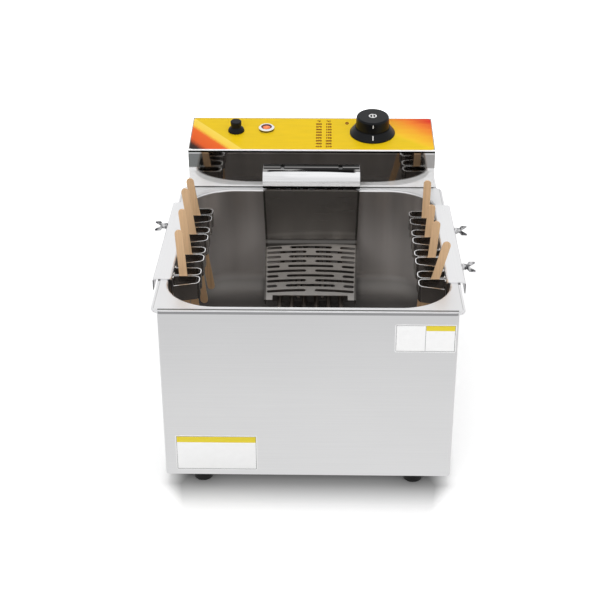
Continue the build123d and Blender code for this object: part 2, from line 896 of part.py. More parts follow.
# Contactor, terminal block and safety microswitch on the head's base
tray_floor_z = rim_top_z + sheet
contactor_plane = Plane(
    origin=(contactor_place[0], head_face_y + contactor_place[1], tray_floor_z)
)
with BuildPart() as contactor:
    with BuildSketch(contactor_plane):
        Rectangle(contactor_size[0], contactor_size[1])
    extrude(amount=contactor_size[2] - contactor_ridge)
    with BuildSketch(contactor_plane.offset(contactor_size[2] - contactor_ridge)):
        Rectangle(contactor_size[0], contactor_size[1] / 2)
    extrude(amount=contactor_ridge)
    fillet(contactor.edges().filter_by(Axis.Z), body_edge_radius)
keep(contactor, "contactor")
block_plane = Plane(
    origin=(terminal_block_place[0], head_face_y + terminal_block_place[1], tray_floor_z)
)
with BuildPart() as terminal_block:
    with BuildSketch(block_plane):
        Rectangle(terminal_block_size[0], terminal_block_size[1])
    extrude(amount=terminal_block_size[2])
    pocket_pitch = terminal_block_size[0] / terminal_pockets
    with BuildSketch(block_plane.offset(terminal_block_size[2])):
        with GridLocations(pocket_pitch, terminal_block_size[1] / 2, terminal_pockets, 2):
            Circle(pocket_pitch * terminal_pocket_share / 2)
    extrude(amount=-terminal_block_size[2] / 2, mode=Mode.SUBTRACT)
keep(terminal_block, "terminal_block")
switch_x = -peg_spread / 2 + peg_diameter / 2 + fit_gap + microswitch_size[0] / 2 + seam_gap
switch_plane = Plane(origin=(switch_x, peg_y, tray_floor_z))
with BuildPart() as microswitch:
    with BuildSketch(switch_plane):
        RectangleRounded(microswitch_size[0], microswitch_size[1], seam_gap)
    extrude(amount=microswitch_size[2])
    with BuildSketch(switch_plane.offset(microswitch_size[2])):
        with Locations((-microswitch_size[0] / 2, 0)):
            Rectangle(microswitch_lever[0], microswitch_lever[1])
    extrude(amount=microswitch_lever[2])
keep(microswitch, "microswitch")

# Heating elements: three hairpins that leave the head, drop behind the guard and run forward.
tube_in_y = head_face_y + sheet + tube_inner_length
tube_drop_y = head_face_y - tube_standoff
tube_front_y = tube_drop_y - heater_run
tube_exit_z = rim_top_z + tube_exit_height
heater_z = rim_top_z - heater_depth
turn_radius = (tube_pitch - tube_turn_straight) / 2
element_names = ("heating_element_left", "heating_element_middle", "heating_element_right")
for number, name in enumerate(element_names):
    near_x, far_x = leg_x[2 * number], leg_x[2 * number + 1]
    with BuildPart() as element:
        with BuildLine() as route:
            FilletPolyline(
                (near_x, tube_in_y, tube_exit_z),
                (near_x, tube_drop_y, tube_exit_z),
                (near_x, tube_drop_y, heater_z),
                (near_x, tube_front_y, heater_z),
                (far_x, tube_front_y, heater_z),
                (far_x, tube_drop_y, heater_z),
                (far_x, tube_drop_y, tube_exit_z),
                (far_x, tube_in_y, tube_exit_z),
                radius=(
                    tube_top_bend,
                    tube_low_bend,
                    turn_radius,
                    turn_radius,
                    tube_low_bend,
                    tube_top_bend,
                ),
            )
        with BuildSketch(Plane(origin=route.line @ 0, z_dir=route.line % 0)):
            Circle(tube_diameter / 2)
        sweep()
        for x in (near_x, far_x):
            with BuildSketch(
                Plane(origin=(x, tube_in_y, tube_exit_z), x_dir=(1, 0, 0), z_dir=(0, 1, 0))
            ):
                Circle(pin_diameter / 2)
            extrude(amount=pin_length)
    keep(element, name)

# Mounting plate on the head's face, with a lip that takes the hood's screws
lip_top = hood_ledge_height - sheet
hood_screw_places = [(x, -hood_ledge_depth / 2) for x in (-hood_screw_spread / 2, hood_screw_spread / 2)]
ledge_plane = Plane(origin=(0, head_face_y, rim_top_z + hood_ledge_height))
with BuildPart() as mounting_plate:
    with BuildSketch(face_plane):
        with Locations((0, (mounting_plate_lift + lip_top) / 2)):
            Rectangle(mounting_plate_width, lip_top - mounting_plate_lift)
        with Locations(*[(x, tube_exit_height) for x in leg_x]):
            Circle(tube_diameter / 2 + hole_gap, mode=Mode.SUBTRACT)
        with Locations(*[(x, tube_exit_height) for x in bulb_x.values()]):
            Circle(capillary_diameter / 2 + hole_gap, mode=Mode.SUBTRACT)
    extrude(amount=mounting_plate_thickness)
    with BuildSketch(ledge_plane.offset(-sheet)):
        with Locations((0, -mounting_lip_depth / 2)):
            Rectangle(mounting_plate_width, mounting_lip_depth)
        with Locations(*hood_screw_places):
            Circle(hood_screw_diameter / 2 + hole_gap, mode=Mode.SUBTRACT)
    extrude(amount=-mounting_plate_thickness)
keep(mounting_plate, "mounting_plate")
element_nuts = hex_rings(
    [moved(face_plane, x, tube_exit_height, -sheet - element_nut_thickness) for x in leg_x],
    element_nut_width,
    tube_diameter + 2 * hole_gap,
    element_nut_thickness,
)
keep(element_nuts, "element_nuts")

# Bulbs between the tube legs, each with a capillary that follows the tubes into the head
for name, x in bulb_x.items():
    bulb_back_y = tube_drop_y - bulb_setback
    with BuildPart() as bulb:
        with BuildLine() as route:
            FilletPolyline(
                (x, bulb_back_y, heater_z),
                (x, tube_drop_y, heater_z),
                (x, tube_drop_y, tube_exit_z),
                (x, tube_in_y, tube_exit_z),
                radius=(tube_low_bend, tube_top_bend),
            )
        with BuildSketch(Plane(origin=route.line @ 0, z_dir=route.line % 0)):
            Circle(capillary_diameter / 2)
        sweep()
        with BuildSketch(
            Plane(origin=(x, bulb_back_y, heater_z), x_dir=(1, 0, 0), z_dir=(0, -1, 0))
        ):
            Circle(bulb_diameter / 2)
        extrude(amount=bulb_length)
        fillet(bulb.faces().sort_by(Axis.Y)[0].edges(), bulb_diameter / 2 * head_crown_share)
    keep(bulb, name)

# Hood: a chrome cover with a screwed ledge, a rounded front and closed ends
hood_bottom = rim_top_z + hood_lift


def hood_outline(inset, run):
    """The hood's side section, drawn inside its sheet by inset and run past its open sides."""
    back = head_face_y + run
    ledge = head_face_y - hood_ledge_depth
    top = rim_top_z + hood_ledge_height - inset
    low = rim_top_z + hood_curve_low
    front = head_face_y - hood_reach + inset
    Line((back, top), (ledge, top))
    EllipticalCenterArc((ledge, low), ledge - front, top - low, start_angle=90, arc_size=90)
    Line((front, low), (front, hood_bottom - run))
    Line((front, hood_bottom - run), (back, hood_bottom - run))
    Line((back, hood_bottom - run), (back, top))


with BuildPart() as hood:
    with BuildSketch(Plane.YZ):
        with BuildLine():
            hood_outline(0, 0)
        make_face()
    extrude(amount=hood_width / 2, both=True)
    with BuildSketch(Plane.YZ):
        with BuildLine():
            hood_outline(sheet, overrun)
        make_face()
    extrude(amount=hood_width / 2 - sheet, both=True, mode=Mode.SUBTRACT)
    with BuildSketch(ledge_plane):
        with Locations(*hood_screw_places):
            Circle(hood_screw_diameter / 2 + hole_gap)
    extrude(amount=-overrun, mode=Mode.SUBTRACT)
keep(hood, "hood")
hood_screws = turned(
    [moved(ledge_plane, *place, 0) for place in hood_screw_places],
    screw_outline(
        hood_screw_diameter, hood_screw_head_diameter, hood_screw_head_height, hood_screw_length
    ),
)
keep(hood_screws, "hood_screws")

# Heater guard: a plate that drops from the hood and bends forward into a slotted grille
grille_angle = radians(grille_slope)
guard_front = head_face_y - guard_reach
guard_top_z = rim_top_z + guard_top_height
guard_bend_z = rim_top_z - guard_bend_depth


def guard_path(inset, run):
    """Three points of the guard's section line, inset behind the seen face, ends run on."""
    shift = inset * (1 - sin(grille_angle)) / cos(grille_angle)
    bend = (guard_front + inset, guard_bend_z - inset * cos(grille_angle) + shift * sin(grille_angle))
    reach = grille_run + run
    tip = (
        guard_front + inset * sin(grille_angle) - reach * cos(grille_angle),
        guard_bend_z - inset * cos(grille_angle) - reach * sin(grille_angle),
    )
    return [(guard_front + inset, guard_top_z + run), bend, tip]


def guard_outline(narrower):
    """The guard's front view from its top to the grille's tip, each side narrower by a wall."""
    tip_z = guard_path(guard_flange_depth, 0)[2][1]
    halves = [
        (guard_top_width / 2, guard_top_z + 2 * overrun),
        (guard_top_width / 2, rim_top_z),
        (guard_bend_width / 2, guard_bend_z),
        (guard_front_width / 2, tip_z),
        (guard_front_width / 2, tip_z - 2 * overrun),
    ]
    right = [(half - narrower, z) for half, z in halves]
    return right + [(-half, z) for half, z in reversed(right)]


def guard_form(middle, width, run, narrower):
    """A bent slab that follows the guard's section, trimmed to the guard's front view."""
    with BuildPart() as form:
        with BuildSketch(Plane.YZ):
            with BuildLine():
                FilletPolyline(*guard_path(middle, run), radius=guard_bend_radius + middle)
            trace(line_width=width)
        extrude(amount=guard_top_width, both=True)
        with BuildSketch(Plane.XZ):
            with BuildLine():
                Polyline(*guard_outline(narrower), close=True)
            make_face()
        extrude(amount=overall_depth, both=True, mode=Mode.INTERSECT)
    return form


guard_hollow = guard_form(sheet + guard_flange_depth / 2, guard_flange_depth, overrun, sheet)
grille_plane = Plane(
    origin=(0, guard_front, guard_bend_z),
    x_dir=(1, 0, 0),
    z_dir=(0, -sin(grille_angle), cos(grille_angle)),
)


def half_width_at(distance):
    """Half the grille's width at a distance from the bend along the slope."""
    share = distance / grille_run
    return (guard_bend_width + (guard_front_width - guard_bend_width) * share) / 2


def row_slots(row):
    """The centre arcs of one row: a long slot between two short ones, or two long ones."""
    distance = slot_first_row + row * slot_row_pitch
    edge = half_width_at(distance) - slot_side_margin - slot_width / 2
    if row % 2 == 0:
        centre_half = slot_centre_half + slot_centre_growth * row
        middle = centre_half - slot_width / 2
        side = centre_half + slot_bridge + slot_width / 2
        spans = [(-edge, -side), (-middle, middle), (side, edge)]
    else:
        side = slot_middle_bridge / 2 + slot_width / 2
        spans = [(-edge, -side), (side, edge)]
    centre = (0, -distance - slot_arc_radius)
    arcs = []
    for start, end in spans:
        angle = degrees(asin(end / slot_arc_radius))
        sweep_angle = degrees(asin(start / slot_arc_radius)) - angle
        arcs.append(CenterArc(centre, slot_arc_radius, 90 - angle, -sweep_angle))
    return arcs


grille_arcs = [arc for row in range(slot_rows) for arc in row_slots(row)]
with BuildPart() as heater_guard:
    add(guard_form(guard_flange_depth / 2, guard_flange_depth, 0, 0).part)
    add(guard_hollow.part, mode=Mode.SUBTRACT)
    with BuildSketch(Plane(origin=(0, guard_front, guard_top_z))):
        tab_depth = guard_reach - mounting_plate_thickness
        with Locations((0, tab_depth / 2)):
            Rectangle(guard_top_width - 2 * sheet, tab_depth)
        with Locations((0, sheet + tab_depth / 2)):
            Rectangle(guard_tab_gap, tab_depth, mode=Mode.SUBTRACT)
    extrude(amount=-sheet)
    with BuildSketch(face_plane):
        for side in (-1, 1):
            corner_x = side * (guard_top_width / 2 - guard_corner_width)
            with Locations((side * guard_top_width / 2, guard_top_height)):
                Rectangle(2 * guard_corner_width, 2 * guard_corner_drop)
            with Locations((corner_x, guard_top_height - guard_corner_drop)):
                Ellipse(guard_corner_width, guard_corner_drop, mode=Mode.SUBTRACT)
    extrude(amount=overall_depth, both=True, mode=Mode.SUBTRACT)
    with BuildSketch(grille_plane):
        with Locations((0, -grille_run)):
            Rectangle(guard_notch_width, 2 * guard_tongue_length)
    extrude(amount=overrun, both=True, mode=Mode.SUBTRACT)
    with BuildSketch(grille_plane):
        for arc in grille_arcs:
            SlotArc(arc, slot_width)
    extrude(amount=sheet + fit_gap, both=True, mode=Mode.SUBTRACT)
keep(heater_guard, "heater_guard")

# Comb plates: they hold the tubes and bulbs, and carry the grille on their upper edges.
with BuildPart() as comb_plates:
    for step in comb_steps:
        comb_y = guard_front - step
        low_z = heater_z - tube_diameter / 2 - comb_below_tube
        drop = (step + comb_thickness / 2) * tan(grille_angle)
        high_z = guard_bend_z - sheet / cos(grille_angle) - drop
        comb_width = 2 * (half_width_at(step) - sheet) - 2 * comb_side_margin
        with BuildSketch(Plane(origin=(0, comb_y, 0), x_dir=(1, 0, 0), z_dir=(0, -1, 0))):
            with Locations((0, (low_z + high_z) / 2)):
                Rectangle(comb_width, high_z - low_z)
            with Locations(*[(x, heater_z) for x in leg_x]):
                Circle(tube_diameter / 2 + hole_gap, mode=Mode.SUBTRACT)
            with Locations(*[(x, heater_z) for x in bulb_x.values()]):
                Circle(bulb_diameter / 2 + hole_gap, mode=Mode.SUBTRACT)
        extrude(amount=comb_thickness / 2, both=True)
keep(comb_plates, "comb_plates")

# Side racks: a folded bracket over the rim, four pairs of spring loops and the sticks they hold
rack_outer_x = rim_outer_width / 2 + rack_outer_reach
rack_inner_x = basin_width / 2 - rack_wall_gap - sheet
screw_z = rim_top_z - screw_drop
clip_top_z = rim_top_z - clip_drop
clip_steps = [clip_pitch * (pair - (clip_pairs - 1) / 2) - clip_lead for pair in range(clip_pairs)]


def screw_planes(side, front, shares):
    """A plane on the bracket's outer leg for each wing screw, facing outwards."""
    return [
        Plane(
            origin=(side * rack_outer_x, front + rack_length * (1 - share), screw_z),
            x_dir=(0, 1, 0),
            z_dir=(side, 0, 0),
        )
        for share in shares
    ]


def rack_bracket(side, mid_y, planes):
    """An inverted channel of bent sheet that straddles the side rim."""
    outer = side * (rack_outer_x - sheet / 2)
    inner = side * (rack_inner_x + sheet / 2)
    level = rim_top_z + sheet / 2
    with BuildPart() as bracket:
        with BuildSketch(Plane.XZ.offset(-mid_y)):
            with BuildLine():
                FilletPolyline(
                    (outer, rim_top_z - rack_outer_leg),
                    (outer, level),
                    (inner, level),
                    (inner, rim_top_z - rack_inner_leg),
                    radius=rack_bend_radius,
                )
            trace(line_width=sheet)
        extrude(amount=rack_length / 2, both=True)
        for plane in planes:
            with BuildSketch(plane):
                Circle(wing_screw_diameter / 2 + hole_gap)
            extrude(amount=-overrun, mode=Mode.SUBTRACT)
    return bracket


def spring_clips(side, middles):
    """Strips bent in plan into loops, one before and one behind each stick."""
    near = stick_thickness / 2 + fit_gap + sheet / 2
    far = near + clip_loop_width
    root = side * (rack_inner_x - sheet / 2)
    tip = side * (rack_inner_x - clip_loop_length + sheet / 2)
    free_end = side * (rack_inner_x - clip_end_gap)
    loop_start = [(root, near + clip_foot_length), (root, near), (tip, near), (tip, far)]
    bends = [clip_root_radius, clip_tip_radius, clip_tip_radius]
    loops = {
        -1: (loop_start + [(free_end, far + clip_splay)], bends),
        1: (
            loop_start + [(root, far), (root, far + clip_foot_length)],
            bends + [clip_root_radius],
        ),
    }
    with BuildPart() as clips:
        for middle in middles:
            for way, (points, radii) in loops.items():
                with BuildSketch(Plane(origin=(0, middle, clip_top_z))):
                    with BuildLine():
                        FilletPolyline(*[(x, way * y) for x, y in points], radius=tuple(radii))
                    trace(line_width=sheet)
                extrude(amount=-clip_height)
    return clips


def wing_screw(plane, side):
    """A screw whose tip meets the rolled rim, with a hub and two wings outside."""
    turn = radians(side * wing_turn)
    across = plane.x_dir * cos(turn) + plane.y_dir * sin(turn)
    wing_plane = Plane(origin=plane.origin, x_dir=across, z_dir=plane.z_dir)
    hub_start = weld_nut_thickness + fit_gap
    tip = rack_outer_reach - fit_gap
    plain_screw = turned(
        [plane],
        [
            (0, -tip),
            (wing_screw_diameter / 2, -tip),
            (wing_screw_diameter / 2, hub_start),
            (wing_hub_diameter / 2, hub_start),
            (wing_hub_diameter / 2, hub_start + wing_root),
            (wing_screw_diameter / 2, hub_start + wing_hub_length),
            (0, hub_start + wing_hub_length),
        ],
    )
    with BuildPart() as screw:
        add(plain_screw.part)
        with BuildSketch(upright(wing_plane)):
            with BuildLine():
                Polyline(
                    (0, hub_start + wing_root / 2),
                    (wing_span / 2, hub_start + wing_tip_start),
                    (wing_span / 2, hub_start + wing_reach),
                    (wing_span / 2 - wing_root, hub_start + wing_reach),
                    (0, hub_start + wing_hub_length),
                    close=True,
                )
            make_face()
            mirror(about=Plane.YZ)
        extrude(amount=wing_thickness / 2, both=True)
    return screw


def stick(side, middle, lean, rise_share):
    """A flat stick with round ends, leaning outwards at its top."""
    slope = radians(lean)
    along = Vector(side * sin(slope), 0, cos(slope))
    entry = Vector(side * (rack_inner_x - stick_inset), middle, clip_top_z)
    centre = entry + along * (stick_length * (rise_share - 1 / 2))
    with BuildPart() as piece:
        with BuildSketch(Plane(origin=centre, x_dir=along, z_dir=(0, 1, 0))):
            SlotOverall(stick_length, stick_width)
        extrude(amount=stick_thickness / 2, both=True)
    return piece


rack_sides = {
    "left": (
        -1,
        left_rack_inset,
        left_screw_shares,
        left_stick_leans,
        left_stick_rise_shares,
    ),
    "right": (
        1,
        right_rack_inset,
        right_screw_shares,
        right_stick_leans,
        right_stick_rise_shares,
    ),
}
for hand, (side, inset, shares, leans, rise_shares) in rack_sides.items():
    rack_front_y = front_y + inset
    rack_mid_y = rack_front_y + rack_length / 2
    clip_y = [rack_mid_y + step for step in clip_steps]
    planes = screw_planes(side, rack_front_y, shares)
    keep(rack_bracket(side, rack_mid_y, planes), f"{hand}_rack_bracket")
    keep(spring_clips(side, clip_y), f"{hand}_spring_clips")
    weld_nuts = hex_rings(
        planes, weld_nut_width, wing_screw_diameter + 2 * hole_gap, weld_nut_thickness
    )
    keep(weld_nuts, f"{hand}_weld_nuts")
    for number, plane in enumerate(planes, start=1):
        keep(wing_screw(plane, side), f"{hand}_wing_screw_{number}")
    for number, (middle, lean, rise) in enumerate(zip(clip_y, leans, rise_shares), start=1):
        keep(stick(side, middle, lean, rise), f"{hand}_stick_{number}")
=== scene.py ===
"""The looks of an electric deep fryer with stick racks, laid over its CAD model."""

import math

import bmesh
import bpy
from bpy.props import FloatProperty, FloatVectorProperty, PointerProperty
from mathutils import Matrix, Vector


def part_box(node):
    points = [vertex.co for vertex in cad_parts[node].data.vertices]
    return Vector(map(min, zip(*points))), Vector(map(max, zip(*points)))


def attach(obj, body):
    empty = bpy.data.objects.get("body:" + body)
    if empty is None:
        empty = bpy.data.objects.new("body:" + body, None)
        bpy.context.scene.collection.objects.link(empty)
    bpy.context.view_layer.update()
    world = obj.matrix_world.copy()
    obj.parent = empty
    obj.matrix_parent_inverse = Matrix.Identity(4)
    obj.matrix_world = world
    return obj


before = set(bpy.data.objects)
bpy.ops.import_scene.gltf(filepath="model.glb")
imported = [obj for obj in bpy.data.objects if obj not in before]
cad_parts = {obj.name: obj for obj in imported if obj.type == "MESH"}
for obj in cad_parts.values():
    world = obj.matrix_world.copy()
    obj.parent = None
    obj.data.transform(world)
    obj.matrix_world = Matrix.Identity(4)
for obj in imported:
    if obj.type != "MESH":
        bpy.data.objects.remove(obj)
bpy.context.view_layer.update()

bl_info = {
    "name": "Deep Fryer Looks",
    "version": (1, 0, 0),
    "blender": (4, 5, 0),
    "location": "View3D > Sidebar > Fryer",
    "description": "Finishes and small details for an electric deep fryer with stick racks",
    "category": "Add Mesh",
}

# Places read from the CAD nodes, in metres. The last two are in millimetres, for the finishes.
BASIN_LOW, BASIN_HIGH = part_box("basin")
CASING_LOW, CASING_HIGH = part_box("outer_casing")
RIM_TOP = BASIN_HIGH.z
HEAD_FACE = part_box("head_housing")[0].y
RIM_MM = RIM_TOP * 1000
FACE_MM = HEAD_FACE * 1000

# The sloping control panel, in metres: places on it are given across and back from its front.
PANEL_TILT = math.radians(9)
PANEL_RISE = 0.068
PANEL_NORMAL = Vector((0, -math.sin(PANEL_TILT), math.cos(PANEL_TILT)))
PANEL_UP = Vector((0, math.cos(PANEL_TILT), math.sin(PANEL_TILT)))
PANEL_FRONT = Vector((0, HEAD_FACE, RIM_TOP + PANEL_RISE))
FILM_TOP = 0.0004
PRINT_LIFT = 0.00006
PRINT_DEPTH = 0.00005
KNOB_CENTRE = (0.1045, 0.060)
KNOB_FOOT = FILM_TOP + 0.0003
KNOB_TOP = KNOB_FOOT + 0.0325
MARK_WIDTH = 0.0018
FIGURE_PITCH = 0.0098
LAMP_CENTRE_MM = (-79, 70)

# The lights aim at this height of the fryer, in metres.
AIM_HEIGHT = 0.2


def panel_matrix(across, setback, lift):
    """The transform that lays a flat piece on the sloping control panel."""
    place = PANEL_FRONT + Vector((across, 0, 0)) + PANEL_UP * setback + PANEL_NORMAL * lift
    return Matrix.Translation(place) @ Matrix.Rotation(PANEL_TILT, 4, "X")


def along_panel(direction, y, z):
    """How many millimetres a point lies from the panel's front edge in this direction."""
    return (y - PANEL_FRONT.y * 1000) * direction.y + (z - PANEL_FRONT.z * 1000) * direction.z


def rack_front(x):
    """Where the rack on this side begins at the front, in millimetres."""
    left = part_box("left_rack_bracket")[0].y * 1000
    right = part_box("right_rack_bracket")[0].y * 1000
    return (x > 0) * (right - left) + left


class Sock:
    """A shader socket that can stand in a Python sum, product or comparison."""

    def __init__(self, graph, socket):
        self.graph = graph
        self.socket = socket

    def maths(self, operation, *values, clamp=False):
        """A Math node with this operation on the values."""
        return self.graph.node(
            "ShaderNodeMath",
            {"operation": operation, "use_clamp": clamp},
            dict(enumerate(values)),
        )

    def __add__(self, other):
        return self.maths("ADD", self, other)

    def __radd__(self, other):
        return self.maths("ADD", other, self)

    def __sub__(self, other):
        return self.maths("SUBTRACT", self, other)

    def __rsub__(self, other):
        return self.maths("SUBTRACT", other, self)

    def __mul__(self, other):
        return self.maths("MULTIPLY", self, other)

    def __rmul__(self, other):
        return self.maths("MULTIPLY", other, self)

    def __truediv__(self, other):
        return self.maths("DIVIDE", self, other)

    def __abs__(self):
        return self.maths("ABSOLUTE", self)

    def __gt__(self, other):
        return self.maths("GREATER_THAN", self, other)

    def __lt__(self, other):
        return self.maths("LESS_THAN", self, other)

    def __pow__(self, other):
        return self.maths("POWER", self, other)

    def clamp(self):
        """The value kept between zero and one."""
        return self.maths("ADD", self, 0, clamp=True)

    def higher(self, other):
        """The larger of two values."""
        return self.maths("MAXIMUM", self, other)

    def lower(self, other):
        """The smaller of two values."""
        return self.maths("MINIMUM", self, other)

    def step(self, start, end):
        """Zero below start, one above end and smooth between them."""
        return self.graph.node(
            "ShaderNodeMapRange",
            {"interpolation_type": "SMOOTHSTEP"},
            {0: self, 1: start, 2: end, 3: 0, 4: 1},
        )

    def fall(self, start, end):
        """One below start, zero above end and smooth between them."""
        return 1 - self.step(start, end)

    def near(self, centre, full, none):
        """One up to a distance from the centre, zero from a farther one on."""
        return abs(self - centre).fall(full, none)


class Graph:
    """A node tree in the making."""

    def __init__(self, tree):
        self.tree = tree

    def node(self, kind, settings=None, sockets=None, output=0):
        """One node with its settings made first, then its sockets; gives back one output."""
        made = self.tree.nodes.new(kind)
        for key, value in (settings or {}).items():
            if key == "stops":
                ramp = made.color_ramp
                while len(ramp.elements) < len(value):
                    ramp.elements.new(1)
                for element, (place, colour) in zip(ramp.elements, value):
                    element.position = place
                    element.color = (*colour, 1)
            else:
                setattr(made, key, value)
        for key, value in (sockets or {}).items():
            self.feed(made.inputs[key], value)
        return Sock(self, made.outputs[output])

    def outputs(self, kind, names, sockets=None):
        """Several outputs of one node."""
        found = self.node(kind, sockets=sockets).socket.node.outputs
        return [Sock(self, found[name]) for name in names]

    def feed(self, socket, value):
        """A link or a plain value into a socket."""
        if isinstance(value, Sock):
            self.tree.links.new(value.socket, socket)
        elif socket.type == "RGBA" and len(value) == 3:
            socket.default_value = (*value, 1)
        else:
            socket.default_value = value


class Finish(Graph):
    """A material in the making: one Principled shader and the nodes that feed it."""

    def __init__(self, name, **fixed):
        self.material = bpy.data.materials.new(name)
        self.material.use_nodes = True
        super().__init__(self.material.node_tree)
        self.shader = self.tree.nodes["Principled BSDF"]
        for socket, value in fixed.items():
            self.put(socket.replace("_", " "), value)

    def put(self, socket, value):
        """A link or a plain value into the shader's own socket."""
        self.feed(self.shader.inputs[socket], value)

    def place(self):
        """The point's place in the object's own frame, in metres."""
        return self.node("ShaderNodeTexCoord", output="Object")

    def axes(self):
        """The point's x, y and z in the object's own frame, in millimetres."""
        scaled = self.node(
            "ShaderNodeVectorMath", {"operation": "SCALE"}, {0: self.place(), "Scale": 1000}
        )
        return self.outputs("ShaderNodeSeparateXYZ", "XYZ", {0: scaled})

    def noise(self, stretch, detail=3.0, roughness=0.5, place=None):
        """Noise that changes this many times a metre along each axis."""
        scaled = self.node(
            "ShaderNodeVectorMath",
            {"operation": "MULTIPLY"},
            {0: place or self.place(), 1: stretch},
        )
        return self.node(
            "ShaderNodeTexNoise",
            sockets={"Vector": scaled, "Scale": 1, "Detail": detail, "Roughness": roughness},
        )

    def mix(self, factor, first, second):
        """Two colours mixed."""
        return self.node(
            "ShaderNodeMix", {"data_type": "RGBA"}, {0: factor, 6: first, 7: second}, output=2
        )

    def ramp(self, factor, *stops):
        """A colour ramp."""
        return self.node("ShaderNodeValToRGB", {"stops": stops}, {0: factor})

    def base(self):
        """What feeds the base colour so far."""
        return Sock(self, self.shader.inputs["Base Color"].links[0].from_socket)

    def cover(self, share, colour):
        """A colour laid over the base colour by a share."""
        self.put("Base Color", self.mix(share, self.base(), colour))

    def dim(self, shade):
        """The base colour multiplied by a shade."""
        product = self.node(
            "ShaderNodeMix",
            {"data_type": "RGBA", "blend_type": "MULTIPLY"},
            {0: 1.0, 6: self.base(), 7: shade},
            output=2,
        )
        self.put("Base Color", product)

    def bump(self, height, strength, distance):
        """Relief on the shader's normal."""
        relief = self.node(
            "ShaderNodeBump",
            sockets={"Height": height, "Strength": strength, "Distance": distance},
        )
        self.put("Normal", relief)


def grey(level):
    """A grey colour of one level."""
    return (level, level, level)


def tones(colour, amount):
    """A colour and its darker and lighter neighbours."""
    low = tuple(max(0, part * (1 - amount)) for part in colour)
    high = tuple(min(1, part * (1 + amount)) for part in colour)
    return low, high


def brushed_steel(name, colour, roughness, along="x", grain=0.06, relief=0.04):
    """Satin steel with a fine grain that runs along one axis, and faint broad clouding.

    The colour is None where the caller lays out the base colour.
    """
    finish = Finish(name, Metallic=1.0)
    fine = {"x": (6, 900, 900), "y": (900, 6, 900), "z": (900, 900, 6)}[along]
    streak = finish.noise(fine, detail=4, roughness=0.6)
    cloud = finish.noise((9, 9, 9), detail=2)
    if colour is not None:
        low, high = tones(colour, grain)
        blend = streak * 0.7 + cloud * 0.3
        finish.put("Base Color", finish.ramp(blend, (0.3, low), (0.7, high)))
    finish.put("Roughness", (streak - 0.5) * 0.12 + (cloud - 0.5) * 0.06 + roughness)
    finish.bump(streak, relief, 0.00005)
    return finish


def moulded(name, colour, roughness, speckle=900, relief=0.15):
    """Moulded plastic with a fine even grain and slight changes of gloss."""
    finish = Finish(name, Specular_IOR_Level=0.15)
    fine = finish.noise((speckle, speckle, speckle), detail=2)
    cloud = finish.noise((40, 40, 40), detail=2)
    low, high = tones(colour, 0.12)
    finish.put("Base Color", finish.ramp(cloud, (0.3, low), (0.7, high)))
    finish.put("Roughness", (cloud - 0.5) * 0.12 + roughness)
    finish.bump(fine, relief, 0.00004)
    return finish


def dress(finish, *nodes):
    """CAD nodes take this finish and are shaded smooth between their sharp edges."""
    for node in nodes:
        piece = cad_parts[node]
        piece.data.materials.clear()
        piece.data.materials.append(finish.material)
        piece.data.shade_smooth()
        piece.data.set_sharp_from_angle(angle=math.radians(32))


def soften(width, *nodes):
    """A small rounding on the sharp edges of CAD nodes."""
    for node in nodes:
        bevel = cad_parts[node].modifiers.new("edge rounding", "BEVEL")
        bevel.width = width
        bevel.segments = 2
        bevel.limit_method = "ANGLE"
        bevel.angle_limit = math.radians(40)


def new_piece(name, mesh, finish, body, matrix):
    """A made piece that rides on a CAD body."""
    piece = bpy.data.objects.new(name, mesh)
    bpy.context.scene.collection.objects.link(piece)
    piece.matrix_world = matrix
    mesh.materials.clear()
    mesh.materials.append(finish.material)
    bpy.context.view_layer.update()
    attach(piece, body)


def rounded_slab(name, width, height, depth, radius, segments=6):
    """A flat slab with rounded corners, its back on z = 0."""
    mesh = bpy.data.meshes.new(name)
    form = bmesh.new()
    corners = []
    centres = ((1, 1, 0), (-1, 1, 90), (-1, -1, 180), (1, -1, 270))
    for side_x, side_y, start in centres:
        for step in range(segments + 1):
            angle = math.radians(start + 90 * step / segments)
            x = side_x * (width / 2 - radius) + radius * math.cos(angle)
            y = side_y * (height / 2 - radius) + radius * math.sin(angle)
            corners.append(form.verts.new((x, y, 0)))
    face = form.faces.new(corners)
    lifted = bmesh.ops.extrude_face_region(form, geom=[face])
    top = [part for part in lifted["geom"] if isinstance(part, bmesh.types.BMVert)]
    bmesh.ops.translate(form, verts=top, vec=(0, 0, depth))
    bmesh.ops.recalc_face_normals(form, faces=form.faces)
    edges = [edge for edge in form.edges if all(vert in top for vert in edge.verts)]
    bmesh.ops.bevel(form, geom=edges, offset=depth * 0.3, segments=2, affect="EDGES")
    form.to_mesh(mesh)
    form.free()
    return mesh


def flat_ring(name, inner, outer, depth, segments=64):
    """A flat ring, its back on z = 0."""
    mesh = bpy.data.meshes.new(name)
    form = bmesh.new()
    turns = [math.tau * step / segments for step in range(segments)]
    loops = []
    for radius, height in ((inner, 0), (outer, 0), (outer, depth), (inner, depth)):
        points = [(radius * math.cos(turn), radius * math.sin(turn), height) for turn in turns]
        loops.append([form.verts.new(point) for point in points])
    for near, far in zip(loops, loops[1:] + loops[:1]):
        for step in range(segments):
            after = (step + 1) % segments
            form.faces.new((near[step], near[after], far[after], far[step]))
    bmesh.ops.recalc_face_normals(form, faces=form.faces)
    form.to_mesh(mesh)
    form.free()
    return mesh


